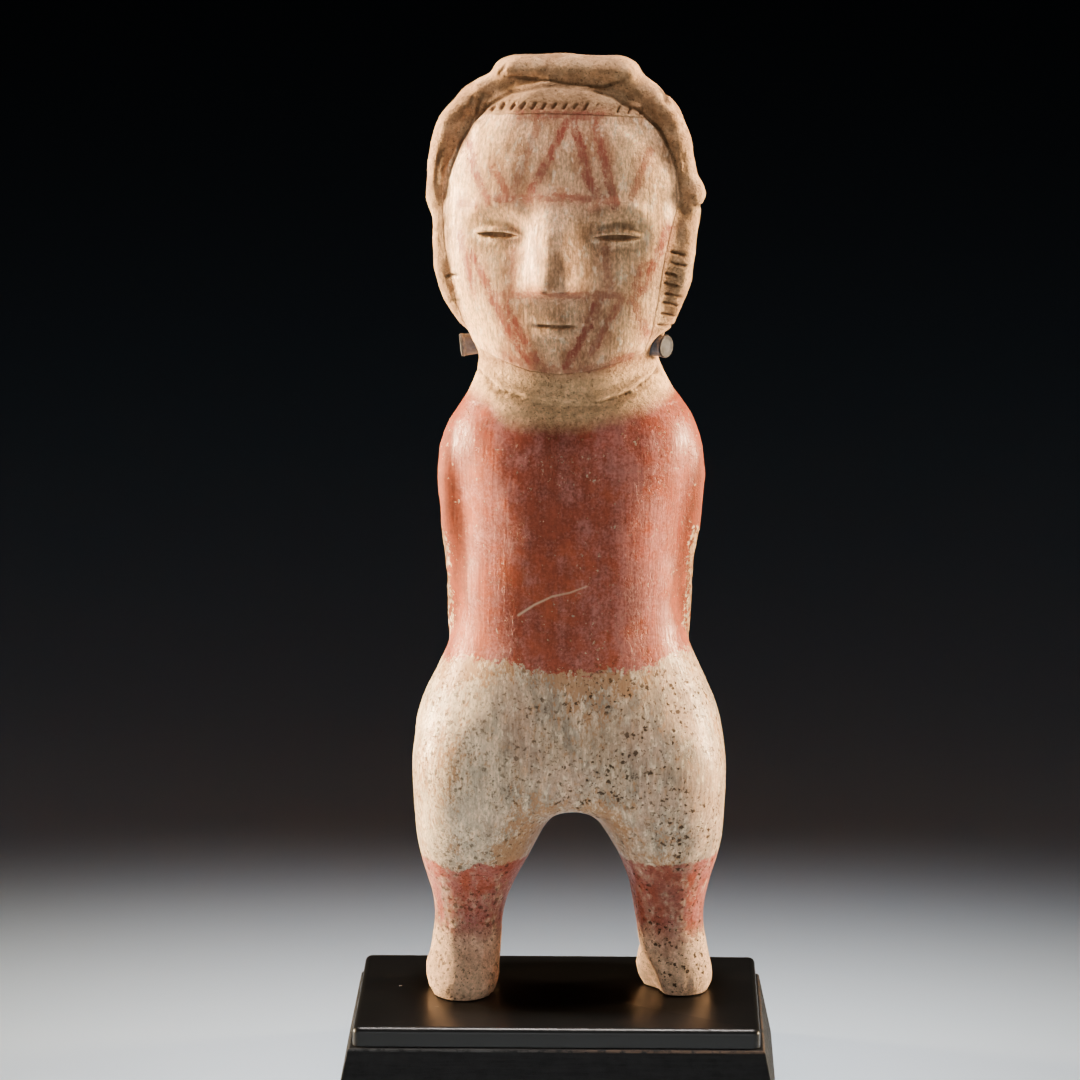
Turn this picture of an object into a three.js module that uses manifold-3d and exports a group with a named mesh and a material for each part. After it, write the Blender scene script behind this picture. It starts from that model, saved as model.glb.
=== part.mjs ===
// A standing West Mexican figure of slip-painted fired clay, with two ear spools, on a black two-tier stand.
// Millimetres, +Z up. The figure faces -Y, +X is on the viewer's right, and the origin is the middle of the
// stand's underside. The figure's free form is given in thousandths of its own height.
import * as THREE from 'three';
import { mergeVertices } from 'three/addons/utils/BufferGeometryUtils.js';
import Module from 'manifold-3d';

const wasm = await Module();
wasm.setup();

// Driving dimensions
const FIGURE_HEIGHT = 321;
const FIGURE_TO_RIGHT = 3.7; // the figure stands a little off the middle of its stand
const FIGURE_TO_BACK = 3.45;
const REST_GAP = 0.3; // between pieces that rest on or in each other

const PLATE_WIDTH = 136.4;
const PLATE_DEPTH = 83.7;
const PLATE_THICKNESS = 6.5;
const PLATE_ROUNDING = 2.1; // its top edge is rounded off by this much all round
const PLATE_CORNER = 1.5; // and its upright corners are cut by this much

const BLOCK_MARGIN = 1.6; // the block's top stands out this far all round the plate
const BLOCK_HEIGHT = 23.2;
const BLOCK_FLARE = 0.2; // its sides run out this much for each millimetre down
const BLOCK_EASING = 0.6; // the narrow worn chamfer round its top edge

const SPOOL_DIAMETER = 7.2;
const SPOOL_RIM_DIAMETER = 7.8;
const SPOOL_LENGTH = 10.5;
const SPOOL_RIM_LENGTH = 1.6;
const SPOOL_SEAT_DEPTH = 4.5; // how deep it sits in the ear lobe
const SPOOL_CLEARANCE = 0.3;

const HEAD_TURN = THREE.MathUtils.degToRad(8); // the head looks a little to the viewer's left

const LOBE_WALL = 0.8; // clay of the ear lobe around its spool's seat

// Worked out from them
const THOUSANDTH = FIGURE_HEIGHT / 1000;
const PLATE_BOTTOM = BLOCK_HEIGHT + REST_GAP;
const PLATE_TOP = PLATE_BOTTOM + PLATE_THICKNESS;

// Colours
const CLAY = { color: 0xa5604a, roughness: 0.45, metalness: 0 };
const SPOOL_CLAY = { color: 0x786460, roughness: 0.5, metalness: 0 };
const BLACK_PLATE = { color: 0x0a0a0b, roughness: 0.12, metalness: 0 };
const BLACK_WOOD = { color: 0x17140f, roughness: 0.65, metalness: 0 };

// A point of the figure, given in thousandths of its height
function point(x, y, z) {
  return new THREE.Vector3(x, y, z).multiplyScalar(THOUSANDTH);
}

// A smooth curve through [place, value] pairs, read at any place between the first and the last
function profile(...pairs) {
  const slopes = pairs.map((pair, i) => {
    const before = pairs[Math.max(i - 1, 0)];
    const after = pairs[Math.min(i + 1, pairs.length - 1)];
    return (after[1] - before[1]) / (after[0] - before[0]);
  });
  return (place) => {
    const next = pairs.findIndex(([end]) => end > place);
    const i = next < 0 ? pairs.length - 2 : Math.max(next - 1, 0);
    const span = pairs[i + 1][0] - pairs[i][0];
    const t = THREE.MathUtils.clamp((place - pairs[i][0]) / span, 0, 1);
    const start = (1 + 2 * t) * (1 - t) ** 2 * pairs[i][1] + t * (1 - t) ** 2 * span * slopes[i];
    const end = t * t * (3 - 2 * t) * pairs[i + 1][1] + t * t * (t - 1) * span * slopes[i + 1];
    return start + end;
  };
}

// A bell that is 1 at its middle and falls to 0 at the given reach
function bump(distance, reach) {
  const t = Math.min(Math.abs(distance) / reach, 1);
  return (1 - t * t) ** 2;
}

// A signed power, which squares off a circle into a rounder or fuller oval
function fuller(value, power) {
  return Math.sign(value) * Math.abs(value) ** power;
}

// Levels from low to high at about the given step, with extra levels put in where the form is finer
function levels(low, high, step, extras = []) {
  const count = Math.round((high - low) / step);
  const even = Array.from({ length: count + 1 }, (_, i) => low + ((high - low) * i) / count);
  const closest = (level) => Math.min(...extras.map((extra) => Math.abs(extra - level)), Infinity);
  const kept = (level, i) => i === 0 || i === count || closest(level) > step * 0.4;
  return [...even.filter(kept), ...extras].sort((a, b) => a - b);
}

// A closed geometry through rings of points, each ring counter-clockwise when seen from the last ring's side
function loft(rings) {
  const sides = rings[0].length;
  const positions = rings.flat().flatMap((p) => [p.x, p.y, p.z]);
  const faces = [];
  for (let row = 0; row < rings.length - 1; row += 1) {
    for (let i = 0; i < sides; i += 1) {
      const a = row * sides + i;
      const b = row * sides + ((i + 1) % sides);
      faces.push(a, b, b + sides, a, b + sides, a + sides);
    }
  }
  const middle = (ring) => ring.reduce((sum, p) => sum.add(p), new THREE.Vector3()).divideScalar(sides);
  const first = positions.length / 3;
  positions.push(...middle(rings[0]).toArray(), ...middle(rings[rings.length - 1]).toArray());
  const top = (rings.length - 1) * sides;
  for (let i = 0; i < sides; i += 1) {
    faces.push(first, (i + 1) % sides, i);
    faces.push(first + 1, top + i, top + ((i + 1) % sides));
  }
  const geometry = new THREE.BufferGeometry();
  geometry.setAttribute('position', new THREE.Float32BufferAttribute(positions, 3));
  geometry.setIndex(faces);
  return geometry;
}

// A closed sweep along a curve. across is its radius in the curve's sideways direction, deep the one near Y.
function sweep(curve, steps, sides, across, deep) {
  const rings = [];
  for (let step = 0; step <= steps; step += 1) {
    const t = step / steps;
    const along = curve.getTangentAt(t);
    const towards = new THREE.Vector3(0, 1, 0).addScaledVector(along, -along.y).normalize();
    const sideways = new THREE.Vector3().crossVectors(towards, along);
    const middle = curve.getPointAt(t);
    rings.push(Array.from({ length: sides }, (_, i) => {
      const turn = (2 * Math.PI * i) / sides;
      const out = sideways.clone().multiplyScalar(Math.cos(turn) * across(t) * THOUSANDTH);
      out.addScaledVector(towards, Math.sin(turn) * deep(t) * THOUSANDTH);
      return middle.clone().add(out);
    }));
  }
  return loft(rings);
}

// A smooth curve through points of the figure
function route(...points) {
  return new THREE.CatmullRomCurve3(points.map((p) => point(...p)), false, 'centripetal');
}

const SWEEP_TIP = 0.12; // how thick a sweep still is at its very end

// Falls to a small tip over the given share at each end of a sweep
function roundedEnds(t, start, end) {
  const from = Math.min(t / start, (1 - t) / end, 1);
  return Math.max(Math.sqrt(1 - (1 - from) ** 2), SWEEP_TIP);
}

// A ball drawn out to three radii and squared off by a power below 1
function blob(x, y, z, radii, power, columns = 18, rows = 12) {
  const geometry = new THREE.SphereGeometry(1, columns, rows);
  const position = geometry.attributes.position;
  for (let i = 0; i < position.count; i += 1) {
    const out = new THREE.Vector3().fromBufferAttribute(position, i);
    const place = point(
      x + fuller(out.x, power) * radii[0],
      y + fuller(out.y, power) * radii[1],
      z + fuller(out.z, power) * radii[2],
    );
    position.setXYZ(i, place.x, place.y, place.z);
  }
  return geometry;
}

function solid(geometry) {
  const bare = geometry.clone();
  bare.deleteAttribute('normal');
  bare.deleteAttribute('uv');
  const merged = mergeVertices(bare, 1e-4);
  return new wasm.Manifold(new wasm.Mesh({
    numProp: 3,
    vertProperties: new Float32Array(merged.attributes.position.array),
    triVerts: new Uint32Array(merged.index.array),
  }));
}

function join(geometries) {
  return geometries.map(solid).reduce((whole, part) => whole.add(part));
}

function named(name, shape, finish) {
  const { vertProperties, triVerts } = shape.getMesh();
  const geometry = new THREE.BufferGeometry();
  geometry.setAttribute('position', new THREE.BufferAttribute(vertProperties, 3));
  geometry.setIndex(new THREE.BufferAttribute(triVerts, 1));
  const mesh = new THREE.Mesh(geometry, new THREE.MeshStandardMaterial(finish));
  mesh.name = name;
  return mesh;
}

// Body

const BODY_LOW = 216;
const BODY_HIGH = 706;
const BODY_STEP = 26;
const BODY_COLUMNS = 36;
const bodyHalf = profile(
  [216, 26], [222, 50], [229, 82], [238, 116], [248, 143], [260, 158], [271, 163], [285, 163], [300, 161],
  [318, 155], [334, 148], [350, 139], [367, 131], [383, 123], [399, 117], [416, 114], [448, 114], [480, 116],
  [513, 119], [545, 122], [570, 126], [593, 128], [609, 127], [625, 122], [641, 113], [651, 106], [662, 100],
  [673, 95], [688, 90], [706, 84],
);
const bodyFront = profile(
  [216, 44], [222, 62], [229, 76], [238, 84], [248, 89], [260, 93], [275, 94], [300, 94], [350, 88],
  [406, 80], [453, 80], [500, 83], [560, 84], [590, 81], [610, 76], [625, 71], [640, 65], [660, 59],
  [706, 48],
);
const bodyBack = profile(
  [216, 46], [222, 64], [229, 79], [238, 88], [248, 94], [260, 98], [275, 101], [300, 102], [350, 96],
  [406, 86], [453, 83], [500, 84], [560, 85], [590, 82], [610, 77], [625, 72], [644, 66], [665, 62],
  [706, 58],
);
const bodyLean = profile([216, 0], [320, -1], [450, 0], [560, 4], [620, 4], [660, 1], [706, -2]);
const BODY_FULLNESS = 0.82;

// A level ring that is an oval with its own reach to the left, right, front and back of its middle
function ovalRing(columns, fullness, z, { middle, left, right, front, back }) {
  return Array.from({ length: columns }, (_, i) => {
    const across = fuller(Math.cos((2 * Math.PI * i) / columns), fullness);
    const deep = fuller(Math.sin((2 * Math.PI * i) / columns), fullness);
    return point(middle + across * (across < 0 ? left : right), deep * (deep < 0 ? front : back), z);
  });
}

function body() {
  const rings = levels(BODY_LOW, BODY_HIGH, BODY_STEP, [220, 226, 234, 244, 257]).map((z) => {
    const half = bodyHalf(z);
    const reach = { middle: bodyLean(z), left: half, right: half, front: bodyFront(z), back: bodyBack(z) };
    return ovalRing(BODY_COLUMNS, BODY_FULLNESS, z, reach);
  });
  return loft(rings);
}

// Legs and feet. The shin runs out forwards into a stub of a foot, and the two thighs meet in an arch.

const LEG_HIGH = 318;
const LEG_STEP = 24;
const LEG_COLUMNS = 22;
const legOuter = profile(
  [0, 148], [10, 153], [25, 152], [53, 146], [70, 144], [87, 143], [103, 146], [120, 150], [137, 155],
  [153, 159], [170, 162], [186, 164], [219, 166], [252, 166], [269, 165], [285, 161], [302, 152], [318, 138],
);
const legInner = profile(
  [53, 72], [70, 71], [87, 69], [103, 65], [120, 60], [137, 53], [153, 46], [167, 39], [182, 30], [192, 24],
  [199, 17], [203, 10], [206, 1], [209, -14], [214, -32], [221, -52], [232, -68], [252, -76], [290, -60],
  [318, -30],
);
const archShift = profile([90, 0], [150, 5], [318, 5]); // the arch stands a little to the right of the middle
const legMiddle = profile([0, 114], [53, 109], [87, 105], [153, 99], [206, 94], [318, 88]);
const legFront = profile(
  [35, 38], [53, 33], [70, 32], [87, 35], [120, 45], [153, 60], [180, 72], [206, 80], [224, 85], [252, 89],
  [285, 88], [318, 74],
);
const legBack = profile(
  [0, 44], [12, 50], [35, 51], [70, 49], [87, 48], [120, 53], [153, 64], [180, 75], [206, 83], [224, 88],
  [252, 93], [285, 92], [318, 78],
);
const legFullness = profile([0, 0.85], [40, 0.92], [110, 0.92], [160, 0.82], [215, 0.78], [318, 0.82]);
// The two feet differ: how far the toe runs forwards, and how wide the foot is at the toe
const FEET = {
  left: {
    side: -1,
    toe: profile([0, 52], [10, 57], [22, 53], [35, 38]),
    inner: profile([0, 78], [25, 75], [53, 72]),
  },
  right: {
    side: 1,
    toe: profile([0, 30], [10, 38], [24, 41], [35, 38]),
    inner: profile([0, 93], [25, 86], [53, 72]),
  },
};

function leg({ side, toe, inner }) {
  const extras = [4, 12, 22, 190, 199, 203, 206, 209, 214, 222];
  const rings = levels(0, LEG_HIGH, LEG_STEP, extras).map((z) => {
    const out = legOuter(z) - legMiddle(z);
    const inwards = legMiddle(z) - (z < 53 ? inner(z) : legInner(z)) - side * archShift(z);
    const [left, right] = side > 0 ? [inwards, out] : [out, inwards];
    const front = z < 35 ? toe(z) : legFront(z);
    const reach = { middle: side * legMiddle(z), left, right, front, back: legBack(z) };
    return ovalRing(LEG_COLUMNS, legFullness(z), z, reach);
  });
  return loft(rings);
}

// A swelling on the outside of the left foot, and the short inner toe of the right one
function footLobes() {
  return [blob(-133, 10, 22, [21, 26, 20], 0.9, 12, 8), blob(93, 16, 25, [23, 24, 30], 0.9, 14, 8)];
}

// Arms, low on the flanks, with the hands laid on the back of the hips

const ARM_STEPS = 20;
const ARM_SIDES = 10;
const ARM_RADIUS = profile([0, 18], [0.2, 21], [0.45, 20], [0.7, 17], [0.85, 15], [1, 17]);
const ELBOW_AT = 0.42;

const ARMS_TO_RIGHT = 3; // the chest leans a little to the right over the hips
const ARMS = [{ side: -1, forward: 4, wider: 3 }, { side: 1, forward: 0, wider: 0 }];

function arm({ side, forward, wider }) {
  const path = route(...[
    [92, 6, 640], [111, -4, 604], [120, -12 - forward, 566], [116, -12 - forward, 515],
    [111, -8 - forward, 470], [108, -2, 430], [109, 10, 400], [108, 34, 380], [94, 62, 368], [80, 78, 368],
  ].map(([out, y, z]) => [side * (out + wider) + ARMS_TO_RIGHT * bump(z - 590, 260), y, z]));
  const across = (t) => (ARM_RADIUS(t) + 2 * bump(t - ELBOW_AT, 0.08)) * roundedEnds(t, 0.12, 0.06);
  return sweep(path, ARM_STEPS, ARM_SIDES, across, across);
}

// A mitten of a hand, laid flat on the small of the back
function hand(side) {
  return blob(side * 72, 83, 369, [24, 13, 16], 0.9, 12, 8);
}

// Head: a broad convex mask of a face, set out on plain thirds, with slits for eyes and mouth

const HEAD_TO_RIGHT = -4;
const HEAD_LOW = 660;
const HEAD_HIGH = 981;
const CHIN = 673;
const HAIRLINE = 942;
const faceAt = (share) => HAIRLINE + (CHIN - HAIRLINE) * share;
const BROW = faceAt(1 / 3);
const EYE_LINE = faceAt(0.46);
const NOSE_BASE = faceAt(2 / 3);
const MOUTH = faceAt(0.8);
const EYE_OUT = 61; // from the face's middle line to the middle of each eye
const EYE_HALF = 22;
const NOSE_HALF = 38;
const NOSE_STAND = 21;
const MOUTH_HALF = 25;
const SLIT_HALF = 4;
const SLIT_DEPTH = 4;

const headHalf = profile(
  [660, 60], [669, 78], [681, 90], [700, 99], [719, 106], [750, 118], [781, 125], [812, 128], [844, 128],
  [875, 124], [906, 115], [938, 98], [956, 80], [972, 52], [981, 24],
);
const headFront = profile(
  [660, 46], [669, 59], [681, 65], [700, 68], [719, 69], [750, 70], [781, 71], [844, 70], [875, 67],
  [906, 62], [938, 53], [956, 45], [972, 34], [981, 18],
);
const headBack = profile(
  [660, 50], [669, 60], [681, 65], [700, 69], [719, 72], [750, 77], [781, 80], [844, 82], [875, 80],
  [906, 75], [938, 66], [956, 56], [972, 40], [981, 20],
);
const HEAD_FULLNESS = 0.9;
const FACE_COLUMNS = 18; // in each quarter of the front, closer together towards the middle line
const NAPE_COLUMNS = 8; // in each quarter of the back
const FACE_CROWDING = 1.3;

const noseHalf = profile([NOSE_BASE, NOSE_HALF], [EYE_LINE, 31], [BROW, 29], [BROW + 20, 34]);
const NOSE_FOOT = NOSE_BASE - 7;
const NOSE_TOP = BROW + 22;
const noseStand = profile(
  [NOSE_FOOT, 0], [NOSE_BASE, NOSE_STAND * 0.75], [NOSE_BASE + 10, NOSE_STAND],
  [EYE_LINE, NOSE_STAND * 0.8], [BROW, NOSE_STAND * 0.35], [NOSE_TOP, 0],
);

// How far the face stands out of the plain mask at a place
function faceRelief(x, z) {
  const nose = noseStand(z) * bump(x, noseHalf(z)) ** 0.5;
  const out = Math.abs(x) - EYE_OUT;
  const socket = -6 * bump(out + 8, 52) * bump(z - EYE_LINE, 30);
  const eye = -SLIT_DEPTH * bump(out, EYE_HALF) ** 0.5 * bump(z - EYE_LINE, SLIT_HALF);
  const mouth = -SLIT_DEPTH * bump(x, MOUTH_HALF) ** 0.5 * bump(z - MOUTH, SLIT_HALF);
  const lips = 3 * bump(x, 46) * bump(z - MOUTH, 26);
  const hair = 3 * THREE.MathUtils.smoothstep(z, HAIRLINE - 1, HAIRLINE + 5);
  return nose + socket + eye + mouth + lips + hair;
}

// The angles of a head ring's columns, from the middle of the face round to the left and back
function headAngles() {
  const quarter = Math.PI / 2;
  const face = Array.from({ length: FACE_COLUMNS + 1 }, (_, i) => (i / FACE_COLUMNS) ** FACE_CROWDING);
  const nape = Array.from({ length: NAPE_COLUMNS }, (_, i) => 1 + (i + 1) / NAPE_COLUMNS);
  const half = [...face, ...nape].map((share) => share * quarter);
  return [...half, ...half.slice(1, -1).reverse().map((angle) => -angle)];
}

function headRing(z) {
  return headAngles().map((angle) => {
    const x = fuller(Math.sin(angle), HEAD_FULLNESS) * headHalf(z);
    const front = Math.cos(angle) > 0;
    const y = -fuller(Math.cos(angle), HEAD_FULLNESS) * (front ? headFront(z) : headBack(z));
    return point(x, y - (front ? faceRelief(x, z) * Math.cos(angle) : 0), z);
  });
}

function skull() {
  const extras = [];
  [EYE_LINE, MOUTH].forEach((slit) => extras.push(slit - SLIT_HALF, slit, slit + SLIT_HALF));
  extras.push(NOSE_FOOT, NOSE_BASE, NOSE_BASE + 6, BROW, HAIRLINE - 1, HAIRLINE + 5);
  return loft(levels(HEAD_LOW, HEAD_HIGH, 15, extras).map(headRing));
}

// The clay coil laid over the crown like a halo, its ends hanging at the temples
const COIL_STEPS = 34;
const COIL_SIDES = 10;

function coil() {
  const path = route(
    [-129, -8, 822], [-131, -12, 855], [-127, -12, 888], [-121, -12, 915], [-108, -12, 941], [-84, -10, 962],
    [-52, -8, 973], [0, -6, 977], [50, -8, 973], [84, -10, 962], [106, -12, 942], [116, -12, 918],
    [121, -12, 892], [125, -12, 868], [129, -10, 844], [129, -6, 820], [126, -2, 798],
  );
  const across = (t) => (14 + 2 * bump(t - 0.17, 0.12)) * roundedEnds(t, 0.05, 0.16);
  const deep = (t) => 19 * roundedEnds(t, 0.05, 0.2);
  return sweep(path, COIL_STEPS, COIL_SIDES, across, deep);
}

// The flat roll that lies over the top of the coil
function roll() {
  const path = route(
    [-76, -10, 972], [-60, -11, 982], [-30, -12, 986], [30, -12, 986], [58, -11, 984], [80, -10, 972],
  );
  const across = (t) => (14 + 1.5 * bump(t - 0.88, 0.12)) * roundedEnds(t, 0.1, 0.1);
  const deep = (t) => 23 * roundedEnds(t, 0.12, 0.12);
  return sweep(path, 14, 10, across, deep);
}

function knob() {
  return blob(132, -14, 859, [15, 16, 19], 0.95, 12, 8);
}

// The low ridge of side hair and ear that runs down each side of the face to the lobe
function ear(side) {
  const path = route(
    [side * 124, -14, 846], [side * 126, -16, 810], [side * 123, -17, 780], [side * 117, -16, 756],
    [side * 106, -14, 732], [side * 94, -12, 712],
  );
  const across = (t) => 12.5 * roundedEnds(t, 0.12, 0.12);
  const deep = (t) => 17 * roundedEnds(t, 0.12, 0.12);
  return sweep(path, 10, 8, across, deep);
}

function lobe(side) {
  const radius = (SPOOL_DIAMETER / 2 + SPOOL_CLEARANCE + LOBE_WALL) / THOUSANDTH;
  return blob(side * 86, -8, 698, [radius * 0.9, radius, radius], 0.9, 12, 8);
}

function head() {
  const parts = [skull(), coil(), roll(), knob(), ear(-1), ear(1), lobe(-1), lobe(1)];
  const toPlace = new THREE.Matrix4().makeTranslation(point(HEAD_TO_RIGHT, 0, 0));
  toPlace.multiply(new THREE.Matrix4().makeRotationZ(-HEAD_TURN));
  return parts.map((part) => part.applyMatrix4(toPlace));
}

// The neck ring under the chin. Its lower edge hangs at the front and rises to the sides and the back.

const NECK_COLUMNS = 32;
const NECK_FULLNESS = 0.95;
const NECK_SLOPE = 25; // how much higher the ring's lower edge is at the side than at the front

function neck() {
  const rings = [[671, 84, 59, 56], [674, 91, 65, 60], [680, 92, 64, 60], [692, 84, 54, 54]].map(
    ([z, half, front, back], i) => {
      const reach = { middle: HEAD_TO_RIGHT / 2, left: half, right: half, front, back };
      const ring = ovalRing(NECK_COLUMNS, NECK_FULLNESS, z, reach);
      const slope = i < 2 ? NECK_SLOPE : NECK_SLOPE * 0.4;
      ring.forEach((p) => p.add(point(0, 0, (slope * p.y) / (front * THOUSANDTH))));
      return ring;
    },
  );
  return loft(rings);
}

// Ear spools and their seats in the lobes

const SPOOL_SIDES = 16;
// Where each spool leaves its lobe, and how far it leans forwards and down for each step outwards
const SPOOLS = {
  left: { side: -1, out: 91, forward: 9, up: 697, leanForward: 0.1, leanDown: 0.1 },
  right: { side: 1, out: 91, forward: 9, up: 700, leanForward: 0.7, leanDown: 0 },
};

// Lays a geometry made along +Y out of a lobe
function atLobe(geometry, { side, out, forward, up, leanForward, leanDown }) {
  const outwards = new THREE.Vector3(side, -leanForward, -leanDown).normalize();
  const turn = new THREE.Quaternion().setFromUnitVectors(new THREE.Vector3(0, 1, 0), outwards);
  const middle = point(HEAD_TO_RIGHT + side * out, -forward, up);
  middle.applyAxisAngle(new THREE.Vector3(0, 0, 1), -HEAD_TURN);
  return geometry.clone().applyMatrix4(new THREE.Matrix4().compose(middle, turn, new THREE.Vector3(1, 1, 1)));
}

function spool() {
  const radius = SPOOL_DIAMETER / 2;
  const rim = SPOOL_RIM_DIAMETER / 2;
  const end = SPOOL_LENGTH - SPOOL_SEAT_DEPTH;
  const outline = [
    [0, -SPOOL_SEAT_DEPTH], [radius, -SPOOL_SEAT_DEPTH], [radius, end - SPOOL_RIM_LENGTH],
    [rim, end - SPOOL_RIM_LENGTH * 0.7], [rim, end - SPOOL_RIM_LENGTH * 0.3], [radius, end], [0, end],
  ];
  return new THREE.LatheGeometry(outline.map(([x, y]) => new THREE.Vector2(x, y)), SPOOL_SIDES);
}

function seat() {
  const radius = SPOOL_DIAMETER / 2 + SPOOL_CLEARANCE;
  const depth = SPOOL_SEAT_DEPTH + SPOOL_CLEARANCE;
  const cutter = new THREE.CylinderGeometry(radius, radius, depth + SPOOL_LENGTH, SPOOL_SIDES);
  return cutter.translate(0, (SPOOL_LENGTH - depth) / 2, 0);
}

// Stand

// A slab with a level rectangle at the bottom and another at the top
function frustum(bottomWidth, bottomDepth, topWidth, topDepth, bottom, top) {
  const ring = (width, depth, z) => [[-1, -1], [1, -1], [1, 1], [-1, 1]].map(
    ([x, y]) => new THREE.Vector3((x * width) / 2, (y * depth) / 2, z),
  );
  return loft([ring(bottomWidth, bottomDepth, bottom), ring(topWidth, topDepth, top)]);
}

// The plate's outline at a level, drawn in by an inset
function plateRing(inset, z) {
  const x = PLATE_WIDTH / 2 - inset;
  const y = PLATE_DEPTH / 2 - inset;
  const cut = PLATE_CORNER - inset / 2;
  const outline = [
    [-x + cut, -y], [x - cut, -y], [x, -y + cut], [x, y - cut],
    [x - cut, y], [-x + cut, y], [-x, y - cut], [-x, -y + cut],
  ];
  return outline.map(([across, deep]) => new THREE.Vector3(across, deep, z));
}

// Upright sides, a rounded edge of two facets and a flat top
function basePlate() {
  const edge = [0, 45, 90].map(THREE.MathUtils.degToRad);
  const rounded = edge.map((turn) => plateRing(
    PLATE_ROUNDING * (1 - Math.cos(turn)),
    PLATE_TOP - PLATE_ROUNDING * (1 - Math.sin(turn)),
  ));
  return loft([plateRing(0, PLATE_BOTTOM), ...rounded]);
}

function baseBlock() {
  const width = PLATE_WIDTH + 2 * BLOCK_MARGIN;
  const depth = PLATE_DEPTH + 2 * BLOCK_MARGIN;
  const spread = 2 * BLOCK_FLARE * BLOCK_HEIGHT;
  const eased = BLOCK_HEIGHT - BLOCK_EASING;
  const sides = solid(frustum(width + spread, depth + spread, width, depth, 0, eased));
  const edge = frustum(width, depth, width - 2 * BLOCK_EASING, depth - 2 * BLOCK_EASING, eased, BLOCK_HEIGHT);
  return sides.add(solid(edge));
}

// Assembly

function figure() {
  const legs = [leg(FEET.left), leg(FEET.right), ...footLobes()];
  const clay = join([body(), ...legs, ...ARMS.map(arm), hand(-1), hand(1), neck(), ...head()]);
  const underfoot = new THREE.BoxGeometry(FIGURE_HEIGHT, FIGURE_HEIGHT, FIGURE_HEIGHT);
  const ground = solid(underfoot.translate(0, 0, -FIGURE_HEIGHT / 2));
  const seats = join([atLobe(seat(), SPOOLS.left), atLobe(seat(), SPOOLS.right)]);
  return clay.subtract(ground).subtract(seats);
}

const standing = new THREE.Group();
standing.position.set(FIGURE_TO_RIGHT, FIGURE_TO_BACK, PLATE_TOP + REST_GAP);
standing.add(
  named('figure', figure(), CLAY),
  named('ear_spool_left', solid(atLobe(spool(), SPOOLS.left)), SPOOL_CLAY),
  named('ear_spool_right', solid(atLobe(spool(), SPOOLS.right)), SPOOL_CLAY),
);

const group = new THREE.Group();
group.add(
  standing,
  named('base_plate', solid(basePlate()), BLACK_PLATE),
  named('base_block', baseBlock(), BLACK_WOOD),
);

export default group;
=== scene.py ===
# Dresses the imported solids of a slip-painted clay figure and its black stand.
# Blender units are metres. Places on the figure are in thousandths of its height, from the middle of
# its soles, with +Z up, -Y towards the viewer and +X to the viewer's right.
import math

import bmesh
import bpy
import numpy as np
from bpy.props import FloatProperty, FloatVectorProperty, IntProperty, PointerProperty
from bpy.types import NodeSocket, Operator, Panel, PropertyGroup
from mathutils import Matrix, Vector, noise


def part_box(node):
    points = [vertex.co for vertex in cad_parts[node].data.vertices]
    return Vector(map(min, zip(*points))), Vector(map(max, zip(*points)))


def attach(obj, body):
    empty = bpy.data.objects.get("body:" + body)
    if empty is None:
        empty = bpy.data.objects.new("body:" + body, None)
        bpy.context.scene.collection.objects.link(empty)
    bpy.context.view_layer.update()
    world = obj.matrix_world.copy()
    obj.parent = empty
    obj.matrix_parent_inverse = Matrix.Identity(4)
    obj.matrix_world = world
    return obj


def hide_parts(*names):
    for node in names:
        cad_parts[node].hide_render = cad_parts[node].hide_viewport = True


bl_info = {
    "name": "Nayarit Figure",
    "version": (1, 0, 0),
    "blender": (4, 5, 0),
    "location": "View3D > Sidebar > Figure",
    "description": "Builds the clay surface, ear spools, stand and studio of a slip-painted clay figure",
    "category": "Add Mesh",
}

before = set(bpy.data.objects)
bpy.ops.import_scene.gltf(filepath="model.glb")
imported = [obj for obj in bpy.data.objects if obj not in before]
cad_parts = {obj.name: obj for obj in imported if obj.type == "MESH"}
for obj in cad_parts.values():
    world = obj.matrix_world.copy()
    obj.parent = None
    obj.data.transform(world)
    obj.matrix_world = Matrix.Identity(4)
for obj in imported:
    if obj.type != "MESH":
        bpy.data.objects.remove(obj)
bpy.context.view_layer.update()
BODY = "root"
SPOOLS = ("ear_spool_left", "ear_spool_right")

# Where the figure stands, as in the solids
FIGURE_TO_RIGHT = 0.0037
FIGURE_TO_BACK = 0.00345
FIGURE_LOW, FIGURE_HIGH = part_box("figure")
SOLES = Vector((FIGURE_TO_RIGHT, FIGURE_TO_BACK, FIGURE_LOW.z))
THOUSANDTH = (FIGURE_HIGH.z - FIGURE_LOW.z) / 1000
PLATE_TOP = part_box("base_plate")[1].z
MILLIMETRE = 0.001

# The head's own frame: turned to the viewer's left about an upright line
HEAD_TURN = math.radians(8)
HEAD_TO_RIGHT = -4

# The face is laid out on plain shares of its height, in the head's frame
CHIN = 673
HAIRLINE = 942
BROW = HAIRLINE + (CHIN - HAIRLINE) / 3
EYE_LINE = HAIRLINE + (CHIN - HAIRLINE) * 0.46
NOSE_BASE = HAIRLINE + (CHIN - HAIRLINE) * 2 / 3
MOUTH = HAIRLINE + (CHIN - HAIRLINE) * 0.8
EYE_OUT = 61
EYE_HALF = 23
MOUTH_HALF = 24

# The oval of the face inside the headband
OVAL_MIDDLE = 810
OVAL_HALF_WIDTH = 112
OVAL_HALF_HEIGHT = 145

# Levels up the figure
ANKLES = 70
MID_HIP = 300
NECK = 640
HEADBAND_LOW = 700

# The side that a groove is pressed from
FRONT = -1
BACK = 1


# Sizes and colours that a user would change


def size(name, description, value, **more):
    return FloatProperty(name=name, description=description, default=value, **more)


def length(name, description, value):
    return size(name, description, value, min=0, unit="LENGTH", precision=5)


def share(name, description, value):
    return size(name, description, value, min=0, max=1, subtype="FACTOR")


def paint(name, description, value):
    return FloatVectorProperty(
        name=name, description=description, default=value, size=3, min=0, max=1, subtype="COLOR"
    )


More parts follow.
